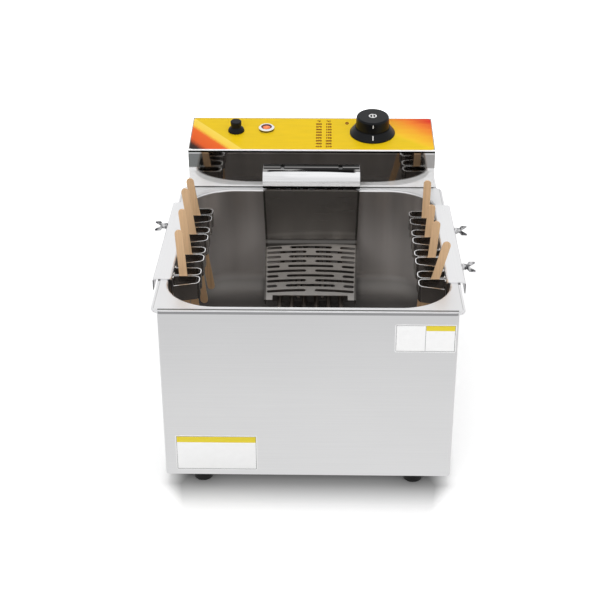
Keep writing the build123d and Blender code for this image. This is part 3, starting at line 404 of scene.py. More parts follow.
def lettering(name, rows, size):
    """Rows of figures as one thin mesh, the first row at the top."""
    curve = bpy.data.curves.new(name, "FONT")
    curve.body = "\n".join(rows)
    curve.size = size
    curve.space_line = FIGURE_PITCH / size
    curve.align_x = "CENTER"
    curve.align_y = "TOP_BASELINE"
    curve.extrude = PRINT_DEPTH
    curve.resolution_u = 4
    curve.offset = size * 0.06
    holder = bpy.data.objects.new(name + "_curve", curve)
    bpy.context.scene.collection.objects.link(holder)
    bpy.context.view_layer.update()
    graph = bpy.context.evaluated_depsgraph_get()
    mesh = bpy.data.meshes.new_from_object(holder.evaluated_get(graph))
    mesh.name = name
    bpy.data.objects.remove(holder)
    return mesh


class FryerFinishes(bpy.types.PropertyGroup):
    """Colours of the fryer's visible surfaces."""

    casing: FloatVectorProperty(
        name="Casing", description="Steel of the outer casing", subtype="COLOR",
        size=3, min=0, max=1, default=(0.86, 0.86, 0.865),
    )
    basin: FloatVectorProperty(
        name="Basin", description="Steel inside the basin", subtype="COLOR",
        size=3, min=0, max=1, default=(0.565, 0.533, 0.514),
    )
    rim: FloatVectorProperty(
        name="Rim", description="Steel of the rim and the racks", subtype="COLOR",
        size=3, min=0, max=1, default=(0.87, 0.87, 0.88),
    )
    panel: FloatVectorProperty(
        name="Panel", description="Ground colour of the printed panel", subtype="COLOR",
        size=3, min=0, max=1, default=(0.80, 0.54, 0.008),
    )
    knob: FloatVectorProperty(
        name="Knob", description="Plastic of the knob and the reset cap", subtype="COLOR",
        size=3, min=0, max=1, default=(0.006, 0.0065, 0.008),
    )
    wood: FloatVectorProperty(
        name="Sticks", description="Wood of the sticks", subtype="COLOR",
        size=3, min=0, max=1, default=(0.72, 0.47, 0.265),
    )


class FryerSizes(bpy.types.PropertyGroup):
    """Sizes of the details that are laid over the CAD model."""

    digit_height: FloatProperty(
        name="Figures", description="Height of the figures on the panel", unit="LENGTH",
        min=0.002, max=0.01, default=0.0068,
    )
    plate_thickness: FloatProperty(
        name="Plate thickness", description="Thickness of the plates on the casing",
        unit="LENGTH", min=0.0001, max=0.002, default=0.0004,
    )
    stick_rounding: FloatProperty(
        name="Stick edges", description="Rounding along the edges of the sticks",
        unit="LENGTH", min=0.0001, max=0.001, default=0.0004,
    )


class FryerStage(bpy.types.PropertyGroup):
    """Light and camera of the studio."""

    key_power: FloatProperty(
        name="Key light", description="Power of the large soft light", unit="POWER",
        min=0, max=500, default=30,
    )
    sky_level: FloatProperty(
        name="Surrounding light", description="Level of the light from all around",
        subtype="FACTOR", min=0, max=2, default=0.3,
    )
    camera_place: FloatVectorProperty(
        name="Camera", description="Place of the camera", subtype="XYZ", unit="LENGTH",
        size=3, default=(0.0223, -1.8890, 1.1565),
    )
    camera_pitch: FloatProperty(
        name="Pitch", description="Angle of the camera below the horizontal",
        subtype="ANGLE", default=math.radians(27.593),
    )
    camera_yaw: FloatProperty(
        name="Yaw", description="Angle of the camera to the left", subtype="ANGLE",
        default=math.radians(1.189),
    )
    camera_roll: FloatProperty(
        name="Roll", description="Tilt of the camera about its view", subtype="ANGLE",
        default=math.radians(-0.171),
    )
    lens: FloatProperty(
        name="Lens", description="Focal length in millimetres on a 36 mm sensor",
        min=20, max=200, default=77.29,
    )


class FRYER_OT_casing(bpy.types.Operator):
    """Finish the outer casing, its rear panel, base and feet"""

    bl_idname = "fryer.casing"
    bl_label = "Casing"

    def execute(self, context):
        looks = context.scene.fryer_finishes
        sheet = brushed_steel("casing_steel", looks.casing, 0.34, grain=0.03, relief=0.015)
        _, _, z = sheet.axes()
        low, high = CASING_LOW.z * 1000, CASING_HIGH.z * 1000
        rise = (z - low) / (high - low)
        # Painted shade: the casing darkens towards its top, under the rim.
        sheet.dim(
            sheet.ramp(rise, (0.0, grey(1)), (0.45, grey(0.98)), (1.0, (0.88, 0.88, 0.885)))
        )
        dress(sheet, "outer_casing", "rear_panel", "base_pan")
        dress(brushed_steel("deck_steel", looks.casing, 0.3), "rear_deck")
        screws = brushed_steel("screw_steel", (0.55, 0.55, 0.56), 0.3, along="z")
        dress(screws, "rear_panel_screws", "foot_screws", "locating_pegs")
        rubber = moulded("foot_rubber", grey(0.012), 0.62, speckle=600, relief=0.3)
        dress(rubber, "foot_front_left", "foot_front_right")
        dress(rubber, "foot_rear_left", "foot_rear_right")
        return {"FINISHED"}


def plate_finish(name, width, height, band, dividers, divider_top):
    """Pale film with a thin dark frame, upright dividing lines and a plain yellow band."""
    border, half_frame, half_divider = 1.6, 0.35, 0.3
    finish = Finish(name)
    x, y, _ = finish.axes()
    inside = (width / 2 - border - abs(x)).lower(height / 2 - border - abs(y))
    lines = abs(inside) < half_frame
    for place in dividers:
        divider = (abs(x - place) < half_divider) * (inside > 0) * (y < divider_top)
        lines = lines.higher(divider)
    left, right, low, high = band
    in_band = (x > left) * (x < right) * (y > low) * (y < high) * (inside > half_frame)
    clouds = finish.noise((90, 90, 90), detail=2)
    finish.put("Base Color", finish.ramp(clouds, (0.3, grey(0.95)), (0.7, grey(0.98))))
    finish.cover(in_band, (0.82, 0.66, 0.03))
    finish.cover(lines, (0.16, 0.16, 0.17))
    finish.put("Roughness", (clouds - 0.5) * 0.1 + 0.35)
    return finish


class FRYER_OT_plates(bpy.types.Operator):
    """Lay two plain film plates on the front of the casing"""

    bl_idname = "fryer.plates"
    bl_label = "Front plates"

    def execute(self, context):
        depth = context.scene.fryer_sizes.plate_thickness
        upright = Matrix.Rotation(math.radians(90), 4, "X")
        # Middle across and up in metres. Then, in millimetres, width and height, the yellow
        # band's left, right, low and high edges, the dividing lines and where they end.
        plates = {
            "plate_upper": (0.168, 0.256, 87, 45, (0.5, 44, 12.5, 24), (0,), 23),
            "plate_lower": (-0.137, 0.057, 122, 61, (-61, 61, 18.5, 31), (), 18),
        }
        for name, (x, z, width, height, *layout) in plates.items():
            finish = plate_finish(name + "_film", width, height, *layout)
            mesh = rounded_slab(name, width / 1000, height / 1000, depth, 0.0015)
            place = Matrix.Translation((x, CASING_LOW.y, z)) @ upright
            new_piece(name, mesh, finish, "fryer_base", place)
        return {"FINISHED"}


class FRYER_OT_basin(bpy.types.Operator):
    """Finish the basin, its flange and its rolled rim"""

    bl_idname = "fryer.basin"
    bl_label = "Basin"

    def execute(self, context):
        looks = context.scene.fryer_finishes
        finish = Finish("basin_steel")
        x, y, z = finish.axes()
        below = RIM_MM - z
        streak = finish.noise((700, 700, 5), detail=4, roughness=0.6)
        cloud = finish.noise((7, 7, 5))
        broad = finish.noise((26, 26, 1.2), detail=2)

        # Painted light and shade: the walls grow paler downwards, and the bottom is painted
        # dark, less so at its rear corners.
        low, high = tones(looks.basin, 0.26)
        blend = streak * 0.03 + cloud * 0.27 + broad * 0.7
        wall = finish.ramp(blend, (0.32, low), (0.68, high))
        wall = finish.mix(below.step(15, 130) * 0.45, wall, (0.86, 0.81, 0.78))
        bottom = below.step(150, 172)
        rear_side = y.step(85, 135) * abs(x).step(76, 92)
        bottom_shade = finish.mix(rear_side, (0.03, 0.028, 0.027), (0.2, 0.19, 0.18))
        wall = finish.mix(bottom * 0.92, wall, bottom_shade)

        # The flange is pale. Distances from its outer edge give the roll and its crease. The
        # roll's outer side carries painted shade, and the crease and a broad fold along the
        # front are painted dark as shade and reflection.
        low, high = tones(looks.rim, 0.04)
        flange = finish.ramp(cloud, (0.3, low), (0.7, high))
        middle = (BASIN_LOW.y + BASIN_HIGH.y) * 500
        half_x = (BASIN_HIGH.x - BASIN_LOW.x) * 500
        half_y = (BASIN_HIGH.y - BASIN_LOW.y) * 500
        edge = (half_x - abs(x)).lower(half_y - abs(y - middle))
        at_front = (middle - y) > (half_y - 8)
        front_fold_shade = (edge > 3.4) * (edge < 6.9) * at_front * (abs(x) < half_x - 10)
        ring = edge.near(3.9, 0.3, 0.9) * (1 - at_front)
        shaded_crease = (ring + front_fold_shade).clamp() * (below < 1.2)
        inside = below.step(1.0, 5.0)
        finish.put("Base Color", finish.mix(inside * (1 - (edge < 4.2)), flange, wall))
        finish.cover((edge < 0.9) * (below > 1.0), (0.36, 0.36, 0.37))
        finish.cover(shaded_crease * (at_front * 0.62 + 0.3), grey(0.05))

        # A painted shadow on the roll where each rack's bracket begins.
        behind = y - rack_front(x)
        bracket_shadow = (abs(x) - half_x).step(-4.5, -3) * behind.step(-6, -4) * behind.fall(2, 3)
        finish.cover(bracket_shadow * 0.85, grey(0.05))

        roughness = (1 - inside) * 0.1 + (streak - 0.5) * 0.02 + bottom * 0.25 + 0.28
        finish.put("Roughness", roughness)
        finish.put("Metallic", 1 - inside * (below.step(10, 125) * 0.36 + 0.1))
        finish.bump(streak * 0.01 - shaded_crease, 0.25, 0.0004)
        dress(finish, "basin")
        return {"FINISHED"}


def head_finish():
    """Polished steel whose front face carries painted reflections, highlights and shadows in
    place of what it mirrors.
    """
    finish = brushed_steel("head_steel", (0.40, 0.39, 0.38), 0.05, grain=0.03, relief=0.004)
    x, y, z = finish.axes()
    rise = z - RIM_MM
    drop = PANEL_FRONT.z * 1000 - z
    front = y < FACE_MM + 3

    # A painted shadow line over the hood, and all that lies below and outside an oval is
    # painted pale as a reflection of the rim.
    hood_top, hood_half_width = 39.8, 82
    hood_shadow_line = rise.near(hood_top, 1.6, 2.6) * (abs(x) - hood_half_width).fall(-1, 1)
    finish.cover(hood_shadow_line * front * 0.95, grey(0.02))
    oval_top, oval_drop, straight_half, round_end = 36, 25, 100, 94
    aside = ((abs(x) - straight_half) / round_end).higher(0)
    below = ((oval_top - rise) / oval_drop).higher(0)
    outside = (aside * aside + below * below).step(0.95, 1.15)
    mirrored = outside * (rise - oval_top).fall(-1, 1) * front
    finish.cover(mirrored, grey(0.95))

    # A painted dark reflection in the left upper corner and a painted shadow along the lowest
    # line.
    finish.cover(x.fall(-188, -184) * rise.step(35, 38) * front * 0.6, (0.08, 0.1, 0.1))
    finish.cover(rise.fall(1.0, 1.8) * front * 0.9, grey(0.01))

    # A painted highlight along the top edge, with a painted shadow line and a painted pale
    # glint under it.
    top_edge_highlight = drop.fall(1.6, 2.2) * front
    finish.cover(top_edge_highlight, grey(1))
    finish.cover(drop.step(1.6, 2.2) * drop.fall(4.2, 5.0) * front, grey(0.01))
    finish.cover(drop.near(6.2, 0.5, 1.6) * front * 0.6, grey(0.9))
    finish.put("Metallic", 1 - top_edge_highlight.higher(mirrored * rise.step(1.0, 1.8) * 0.65))
    return finish


class FRYER_OT_head(bpy.types.Operator):
    """Finish the control head's housing, cover and what is inside it"""

    bl_idname = "fryer.head"
    bl_label = "Control head"

    def execute(self, context):
        looks = context.scene.fryer_finishes
        dress(head_finish(), "head_housing", "mounting_plate")
        dress(brushed_steel("cover_steel", looks.casing, 0.34), "head_cover", "head_base")
        screws = brushed_steel("head_screw_steel", (0.5, 0.5, 0.51), 0.3, along="z")
        dress(screws, "cover_screws", "bush_nuts", "element_nuts", "thermostat_shaft")
        dress(moulded("gland_plastic", looks.knob, 0.45), "cord_gland", "gland_nut")
        fitting = moulded("fitting_plastic", (0.05, 0.05, 0.055), 0.5)
        dress(fitting, "thermostat_body", "limit_thermostat", "lamp_body", "contactor")
        dress(fitting, "microswitch")
        dress(moulded("terminal_ceramic", (0.72, 0.69, 0.62), 0.5), "terminal_block")
        return {"FINISHED"}


def panel_film(colour):
    """Printed film: a plain ground with slanted bands in its two lower corners."""
    finish = Finish("panel_film", Specular_IOR_Level=0.1)
    x, y, z = finish.axes()
    up = along_panel(PANEL_UP, y, z)
    grain = finish.noise((700, 700, 700), roughness=0.7)
    broad = finish.noise((30, 120, 30))
    low, high = tones(colour, 0.03)
    finish.put("Base Color", finish.ramp(broad, (0.3, low), (0.7, high)))

    # How far a point lies past the slanted line where each corner's bands begin.
    past_right = (x - 118) * 0.62 + (up - 70) * 0.785
    past_left = (x + 208) * -0.767 - (up - 110) * 0.6415
    right_bands = finish.ramp(
        (past_right + (broad - 0.5) * 22) / 90,
        (0.0, (0.90, 0.58, 0.02)),
        (0.3, (0.88, 0.42, 0.02)),
        (0.6, (0.85, 0.22, 0.02)),
        (0.9, (0.70, 0.035, 0.01)),
    )
    left_bands = finish.ramp(
        (past_left + (grain - 0.5) * 14) / 72,
        (0.0, (0.90, 0.66, 0.10)),
        (0.2, (0.90, 0.60, 0.06)),
        (0.3, (0.80, 0.13, 0.015)),
        (0.62, (0.72, 0.10, 0.012)),
        (0.78, (0.03, 0.008, 0.004)),
        (1.0, (0.012, 0.006, 0.004)),
    )
    finish.cover(past_right.step(-6, 10), right_bands)
    finish.cover(past_left.step(-0.4, 0.4), left_bands)
    finish.put("Roughness", (broad - 0.5) * 0.1 + 0.36)
    finish.bump(grain, 0.05, 0.00003)
    return finish


class FRYER_OT_panel(bpy.types.Operator):
    """Finish the printed panel and set its two columns of figures"""

    bl_idname = "fryer.panel"
    bl_label = "Panel"

    def execute(self, context):
        looks = context.scene.fryer_finishes
        size = context.scene.fryer_sizes.digit_height
        dress(panel_film(looks.panel), "panel_overlay")
        ink = Finish("panel_ink", Roughness=0.5, Specular_IOR_Level=0.1)
        fade = ink.noise((400, 400, 400), detail=2)
        ink.put("Base Color", ink.ramp(fade, (0.3, (0.15, 0.022, 0)), (0.7, (0.21, 0.032, 0))))
        # Place across and back, size, and the rows from the top.
        prints = {
            "figures_left": (0.0120, 0.0975, size, "°F 250 275 300 325 350 375 390 400 410"),
            "figures_right": (0.0290, 0.0975, size, "°C 120 135 150 165 175 190 200 205 210"),
            "zero_mark": (0.0611, 0.0895, 0.011, "0"),
        }
        for name, (across, setback, height, rows) in prints.items():
            mesh = lettering(name, rows.split(), height)
            place = panel_matrix(across, setback, FILM_TOP + PRINT_LIFT)
            new_piece(name, mesh, ink, "control_head", place)
        return {"FINISHED"}


class FRYER_OT_knob(bpy.types.Operator):
    """Finish the temperature knob and set its white marks"""

    bl_idname = "fryer.knob"
    bl_label = "Knob"

    def execute(self, context):
        looks = context.scene.fryer_finishes
        black = moulded("knob_plastic", looks.knob, 0.32, speckle=700, relief=0.1)
        dress(black, "control_knob")
        paint = Finish("mark_paint", Roughness=0.45)
        wear = paint.noise((900, 900, 900), detail=2)
        paint.put("Base Color", paint.ramp(wear, (0.3, grey(0.7)), (0.6, grey(0.86))))
        across, setback = KNOB_CENTRE
        top = panel_matrix(across, setback, KNOB_TOP)
        ring = flat_ring("knob_ring", 0.0048, 0.0068, 0.0001)
        new_piece("knob_ring", ring, paint, "temperature_knob", top)
        bar = rounded_slab("knob_pointer", MARK_WIDTH, 0.0085, 0.0001, 0.0004)
        new_piece("knob_pointer", bar, paint, "temperature_knob", top)
        # How far ahead of the knob's middle and above its foot, length, and lean in degrees.
        marks = {
            "knob_index_upper": (0.0280, 0.0262, 0.006, 86.4),
            "knob_index_lower": (0.0341, 0.0078, 0.008, 52.1),
        }
        for name, (ahead, lift, length, lean) in marks.items():
            mark = rounded_slab(name, MARK_WIDTH, length, 0.0003, 0.0005)
            place = panel_matrix(across, setback - ahead, KNOB_FOOT + lift)
            turn = Matrix.Rotation(math.radians(lean), 4, "X")
            new_piece(name, mark, paint, "temperature_knob", place @ turn)
        return {"FINISHED"}


def bezel_finish():
    """Chrome of the lamp's bezel, with a painted dark reflection round its side."""
    chrome = (0.86, 0.86, 0.87)
    finish = brushed_steel("bezel_chrome", None, 0.08, along="z")
    _, y, z = finish.axes()
    height = along_panel(PANEL_NORMAL, y, z)
    band = height.step(1.2, 1.9) * height.fall(3.6, 4.4)
    finish.put("Base Color", finish.mix(band, chrome, (0.05, 0.045, 0.04)))
    return finish


def lens_finish():
    """Faceted red plastic that glows a little, with painted shade towards its edge."""
    finish = Finish("lens_plastic", Emission_Strength=0.25)
    x, y, z = finish.axes()
    aside = x - LAMP_CENTRE_MM[0]
    beyond = along_panel(PANEL_UP, y, z) - LAMP_CENTRE_MM[1]
    from_middle = (aside * aside + beyond * beyond) ** 0.5
    facets = finish.noise((260, 260, 260), detail=2)
    glow = finish.ramp(facets, (0.35, (0.60, 0.06, 0.01)), (0.65, (0.95, 0.30, 0.08)))
    # Painted shade towards the edge, under the bezel's lip.
    glow = finish.mix(from_middle.step(5.0, 7.6), glow, (0.08, 0.008, 0.005))
    finish.put("Base Color", glow)
    finish.put("Emission Color", glow)
    finish.put("Roughness", (facets - 0.5) * 0.2 + 0.22)
    finish.bump(facets, 0.3, 0.0003)
    return finish


class FRYER_OT_reset_and_lamp(bpy.types.Operator):
    """Finish the reset cap, its button and the pilot lamp"""

    bl_idname = "fryer.reset_and_lamp"
    bl_label = "Reset and lamp"

    def execute(self, context):
        looks = context.scene.fryer_finishes
        dress(moulded("cap_plastic", looks.knob, 0.4, speckle=700), "reset_cap")
        dress(moulded("button_plastic", (0.55, 0.02, 0.012), 0.35), "reset_button")
        dress(bezel_finish(), "lamp_bezel")
        dress(lens_finish(), "lamp_lens")
        return {"FINISHED"}


def hood_finish():
    """Chrome of the hood, with painted reflections and a painted shadow in place of what it
    mirrors.
    """
    finish = Finish("hood_chrome")
    x, y, z = finish.axes()
    ahead = FACE_MM - y
    rise = z - RIM_MM

    # A painted dark reflection along the slope, narrowest left of the middle and wider to the
    # right.
    near_edge = 12.6 - x.step(-35, -5) * 3.9
    from_bend = x + 38
    far_edge = from_bend.higher(0) * 0.042 + from_bend.lower(0) * -0.1 + 14
    band = (ahead - near_edge).step(-0.3, 0.3) * (ahead - far_edge).fall(-0.5, 0.5)
    band = band * abs(x).fall(71, 77)

    # The low front is painted a matte white in place of a bright reflection, above a painted
    # black shadow along its lowest edge.
    drift = finish.noise((9, 60, 90), detail=2)
    # Grey painted reflections, in a band and in drifts, over the pale chrome.
    grey_reflection = rise.near(25, 1, 6) * 0.5 + drift.step(0.45, 0.7) * 0.5
    low = rise.fall(17, 23)
    over_edge = rise.step(13.2, 14.2)
    finish.put("Base Color", finish.mix(grey_reflection, (0.9, 0.9, 0.91), (0.6, 0.6, 0.61)))
    finish.cover(1 - over_edge, grey(0.01))
    finish.cover(low * over_edge, grey(1))
    finish.cover(band, grey(0.015))
    finish.put("Roughness", (drift - 0.5) * 0.04 + low * 0.4 + 0.07)
    finish.put("Metallic", 1 - low * over_edge)
    finish.bump(finish.noise((6, 900, 900), detail=4, roughness=0.6), 0.04, 0.00005)
    return finish


def guard_finish():
    """Steel of the heater guard: painted pale on its grille as lit, and dark on its upright
    part as shade.
    """
    finish = brushed_steel("guard_steel", None, 0.3)
    x, y, z = finish.axes()
    bend_level, wall_front, grille_start = RIM_MM - 91, FACE_MM - 32, FACE_MM - 26.5
    above = z - bend_level
    from_middle = x - 25
    bow = from_middle * from_middle * 0.0009
    upright = (y - wall_front + bow).step(-0.8, 0.8)

    # The upright part has a painted soft gleam along it, and painted shade darkest in the
    # bend.
    gleam = (above + bow * 0.6).near(17, 0.5, 5)
    wall = finish.mix(gleam * 0.3, (0.34, 0.325, 0.31), (0.6, 0.58, 0.56))
    wall = finish.mix(above.near(-2, 5, 9), wall, (0.10, 0.095, 0.09))
    finish.put("Base Color", finish.mix(upright, (0.62, 0.595, 0.57), wall))
    # A painted highlight along the top edge.
    finish.cover(above.step(94.2, 95.2) * 0.6, (0.95, 0.93, 0.9))

    # The sheet narrows downwards and then to the front, and its side edges carry painted
    # shade.
    half_width = (above.higher(0) - (grille_start - y).higher(0)) * 0.033 + 79
    side = (abs(x) - half_width + 2.2 + upright * 1.6).step(0, 0.8)
    finish.cover(side * 0.75, (0.06, 0.055, 0.05))
    return finish


class FRYER_OT_hood_and_guard(bpy.types.Operator):
    """Finish the chrome hood, the slotted heater guard and the comb plates"""

    bl_idname = "fryer.hood_and_guard"
    bl_label = "Hood and guard"

    def execute(self, context):
        dress(hood_finish(), "hood")
        dress(brushed_steel("hood_screw_steel", grey(0.25), 0.3), "hood_screws")
        dress(guard_finish(), "heater_guard")
        dress(brushed_steel("comb_steel", (0.22, 0.21, 0.2), 0.35), "comb_plates")
        return {"FINISHED"}


class FRYER_OT_heater(bpy.types.Operator):
    """Finish the heater tubes and the bulbs"""

    bl_idname = "fryer.heater"
    bl_label = "Heater"

    def execute(self, context):
        tube = Finish("element_tube", Metallic=1.0)
        heat = tube.noise((18, 14, 18))
        fine = tube.noise((500, 60, 500), detail=2)
        burnt, brown, pale = (0.10, 0.09, 0.085), (0.2, 0.17, 0.15), (0.3, 0.28, 0.26)
        tube.put("Base Color", tube.ramp(heat, (0.3, burnt), (0.55, brown), (0.75, pale)))
        tube.put("Roughness", (fine - 0.5) * 0.2 + 0.38)
        dress(tube, "heating_element_left", "heating_element_middle", "heating_element_right")
        bulb = brushed_steel("bulb_copper", (0.55, 0.50, 0.45), 0.3, along="y")
        dress(bulb, "thermostat_bulb", "limit_bulb")
        return {"FINISHED"}


class FRYER_OT_racks(bpy.types.Operator):
    """Finish the rack brackets, the spring loops and the wing screws"""

    bl_idname = "fryer.racks"
    bl_label = "Racks"

    def execute(self, context):
        looks = context.scene.fryer_finishes
        bright = brushed_steel("bracket_steel", looks.rim, 0.3, along="y", grain=0.03)
        x, y, z = bright.axes()
        # Painted shade along the outer bend, and a painted shadow at the front end of each
        # leg.
        bend_shade = (abs(x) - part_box("right_rack_bracket")[1].x * 1000).step(-1.6, -0.7)
        bright.cover(bend_shade * 0.45, grey(0.3))
        leg_end_shadow = (z < RIM_MM - 1.5) * (y - rack_front(x)).fall(5, 8)
        bright.cover(leg_end_shadow * 0.85, grey(0.05))
        dress(bright, "left_rack_bracket", "right_rack_bracket")

        strip = (0.42, 0.40, 0.385)
        spring = brushed_steel("spring_steel", None, 0.22)
        _, _, z = spring.axes()
        # A painted highlight along the loops' top edges.
        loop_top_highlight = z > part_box("left_spring_clips")[1].z * 1000 - 0.7
        spring.put("Base Color", spring.mix(loop_top_highlight, strip, grey(0.97)))
        dress(spring, "left_spring_clips", "right_spring_clips")
        soften(0.0003, "left_spring_clips", "right_spring_clips")

        cast = brushed_steel("wing_steel", None, 0.3)
        patches = cast.noise((160, 160, 160), roughness=0.6)
        cast.put(
            "Base Color",
            cast.ramp(patches, (0.38, (0.07, 0.07, 0.075)), (0.6, (0.72, 0.72, 0.73))),
        )
        wings = ("left_wing_screw_1", "right_wing_screw_1", "right_wing_screw_2")
        dress(cast, "left_weld_nuts", "right_weld_nuts", *wings)
        soften(0.0005, *wings)
        return {"FINISHED"}


class FRYER_OT_sticks(bpy.types.Operator):
    """Finish the wooden sticks"""

    bl_idname = "fryer.sticks"
    bl_label = "Sticks"

    def execute(self, context):
        looks = context.scene.fryer_finishes
        wood = Finish("stick_wood")
        x, y, z = wood.axes()
        stick = wood.node("ShaderNodeObjectInfo", output="Random")
        moved = wood.node(
            "ShaderNodeCombineXYZ",
            sockets={0: x * 0.001 + stick * 7, 1: y * 0.001, 2: z * 0.001},
        )
        rings = wood.noise((420, 420, 9), roughness=0.55, place=moved)
        flecks = wood.noise((1500, 1500, 60), detail=2, place=moved)
        grain = rings * 0.75 + flecks * 0.25
        low, high = tones(looks.wood, 0.16)
        wood.put(
            "Base Color", wood.ramp(grain, (0.3, low), (0.5, tuple(looks.wood)), (0.72, high))
        )
        wood.cover(stick * 0.35, (0.77, 0.52, 0.31))
        wood.put("Roughness", (rings - 0.5) * 0.15 + 0.6)
        wood.bump(grain, 0.2, 0.0001)
        sticks = [f"{side}_stick_{n}" for side in ("left", "right") for n in (1, 2, 3, 4)]
        dress(wood, *sticks)
        soften(context.scene.fryer_sizes.stick_rounding, *sticks)
        return {"FINISHED"}


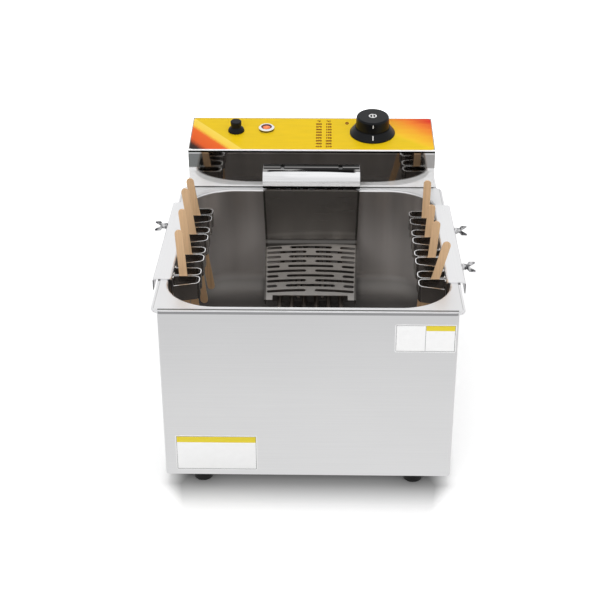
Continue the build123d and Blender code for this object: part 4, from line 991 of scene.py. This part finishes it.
class FRYER_OT_stage(bpy.types.Operator):
    """Set up the pale floor, the soft lights, the surroundings and the camera"""

    bl_idname = "fryer.stage"
    bl_label = "Stage"

    def execute(self, context):
        stage = context.scene.fryer_stage
        self.floor(context)
        self.surroundings(context, stage.sky_level)
        power = stage.key_power
        self.light(context, "key_light", (-1.0, -2.6, 1.5), (0, -0.1), 2.0, power * 0.85)
        self.light(context, "fill_light", (1.8, -1.8, 1.5), (0, 0), 1.8, power * 0.3)
        self.light(context, "top_light", (0.0, 0.5, 2.6), (0, 0), 2.0, power * 0.85)
        self.camera(context, stage)
        context.scene.view_settings.view_transform = "Standard"
        return {"FINISHED"}

    def floor(self, context):
        """A square floor under the fryer."""
        mesh = bpy.data.meshes.new("floor")
        half = 6.0
        corners = [(-half, -half, 0), (half, -half, 0), (half, half, 0), (-half, half, 0)]
        mesh.from_pydata(corners, [], [(0, 1, 2, 3)])
        floor = bpy.data.objects.new("floor", mesh)
        context.scene.collection.objects.link(floor)
        paint = Finish("floor_paint", Roughness=0.9, Specular_IOR_Level=0.0)
        self.floor_glow(paint)
        mesh.materials.append(paint.material)

    def floor_glow(self, paint):
        """White to the camera away from the casing, with a soft shadow beside it, partly real
        and partly painted into its colour and glow.
        """
        x, y, _ = paint.axes()
        middle = (CASING_LOW.y + CASING_HIGH.y) * 500
        half_depth = (CASING_HIGH.y - CASING_LOW.y) * 500
        ahead = abs(y - middle) - half_depth
        aside = abs(x) - CASING_HIGH.x * 1000
        # Painted shadow: near the casing, most in front of it, the floor's colour darkens and
        # its glow fades.
        clear = ahead.step(-35, 85).higher((aside + ahead.higher(0) * 0.6).step(-38, 16))
        far = ahead.higher(aside).step(150, 900)
        paint.put("Base Color", paint.mix(clear, grey(0.2), grey(0.9)))
        painted = Sock(paint, paint.shader.outputs[0])
        glow = paint.node("ShaderNodeEmission", sockets={"Color": clear * 0.32 + far * 0.7})
        even = paint.node("ShaderNodeEmission", sockets={"Strength": 0.84})
        shown = paint.node("ShaderNodeAddShader", sockets={0: painted, 1: glow})
        rays = ("Is Camera Ray", "Is Glossy Ray")
        seen, mirrored = paint.outputs("ShaderNodeLightPath", rays)
        other = paint.node("ShaderNodeMixShader", sockets={0: mirrored, 1: painted, 2: even})
        surface = paint.node("ShaderNodeMixShader", sockets={0: seen, 1: other, 2: shown})
        paint.feed(paint.tree.nodes["Material Output"].inputs[0], surface)

    def surroundings(self, context, level):
        """A white room with two darker patches, which polished metal shows as dark bands."""
        world = bpy.data.worlds.new("studio")
        context.scene.world = world
        world.use_nodes = True
        sky = Graph(world.node_tree)
        background = world.node_tree.nodes["Background"]
        direction = sky.node("ShaderNodeTexCoord", output="Generated")
        _, y, z = sky.outputs("ShaderNodeSeparateXYZ", "XYZ", {0: direction})
        overhead = z.step(0.72, 0.80) * z.fall(0.93, 0.97) * y.step(-0.05, 0.1)
        low_front = z.near(-0.05, 0.1, 0.3) * y.fall(-0.9, -0.5)
        tone = 1 - (overhead * 0.92 + low_front * 0.35).clamp()
        rays = ("Is Camera Ray", "Is Glossy Ray", "Is Transmission Ray")
        seen, glossy, through = sky.outputs("ShaderNodeLightPath", rays)
        plain = seen.higher(through)
        mirrored = glossy * (1 - plain)
        strength = plain + mirrored * tone + (1 - plain) * (1 - mirrored) * level
        sky.feed(background.inputs["Color"], grey(1))
        sky.feed(background.inputs["Strength"], strength)

    def light(self, context, name, place, target, size, power):
        """A square soft light aimed at a point of the fryer."""
        lamp = bpy.data.lights.new(name, "AREA")
        lamp.size = size
        lamp.spread = math.radians(150)
        lamp.energy = power
        holder = bpy.data.objects.new(name, lamp)
        context.scene.collection.objects.link(holder)
        holder.location = place
        holder.visible_glossy = False
        aim = Vector((*target, AIM_HEIGHT)) - Vector(place)
        holder.rotation_euler = aim.to_track_quat("-Z", "Y").to_euler()

    def camera(self, context, stage):
        """The camera at the photograph's viewing angle."""
        lens = bpy.data.cameras.new("camera")
        lens.lens = stage.lens
        lens.sensor_width = 36
        lens.clip_start = 0.05
        holder = bpy.data.objects.new("camera", lens)
        context.scene.collection.objects.link(holder)
        turn = Matrix.Rotation(stage.camera_yaw, 4, "Z")
        tip = Matrix.Rotation(math.radians(90) - stage.camera_pitch, 4, "X")
        roll = Matrix.Rotation(stage.camera_roll, 4, "Z")
        holder.matrix_world = Matrix.Translation(stage.camera_place) @ turn @ tip @ roll
        context.scene.camera = holder


STEPS = (
    FRYER_OT_casing,
    FRYER_OT_plates,
    FRYER_OT_basin,
    FRYER_OT_head,
    FRYER_OT_panel,
    FRYER_OT_knob,
    FRYER_OT_reset_and_lamp,
    FRYER_OT_hood_and_guard,
    FRYER_OT_heater,
    FRYER_OT_racks,
    FRYER_OT_sticks,
    FRYER_OT_stage,
)


class FRYER_PT_looks(bpy.types.Panel):
    """The fryer's finishes, details and stage"""

    bl_idname = "FRYER_PT_looks"
    bl_label = "Deep Fryer"
    bl_space_type = "VIEW_3D"
    bl_region_type = "UI"
    bl_category = "Fryer"

    def draw(self, context):
        scene = context.scene
        for group in (scene.fryer_finishes, scene.fryer_sizes, scene.fryer_stage):
            box = self.layout.box()
            for key in group.__annotations__:
                box.prop(group, key)
        for step in STEPS:
            self.layout.operator(step.bl_idname)


GROUPS = {
    "fryer_finishes": FryerFinishes,
    "fryer_sizes": FryerSizes,
    "fryer_stage": FryerStage,
}


def register():
    """Register the settings, the operators and the panel."""
    for name, group in GROUPS.items():
        bpy.utils.register_class(group)
        setattr(bpy.types.Scene, name, PointerProperty(type=group))
    for step in STEPS:
        bpy.utils.register_class(step)
    bpy.utils.register_class(FRYER_PT_looks)


def unregister():
    """Take the settings, the operators and the panel away again."""
    bpy.utils.unregister_class(FRYER_PT_looks)
    for step in reversed(STEPS):
        bpy.utils.unregister_class(step)
    for name, group in reversed(GROUPS.items()):
        delattr(bpy.types.Scene, name)
        bpy.utils.unregister_class(group)


def main():
    """Dress the whole fryer."""
    register()
    for step in STEPS:
        family, name = step.bl_idname.split(".")
        getattr(getattr(bpy.ops, family), name)()


if __name__ == "__main__":
    main()
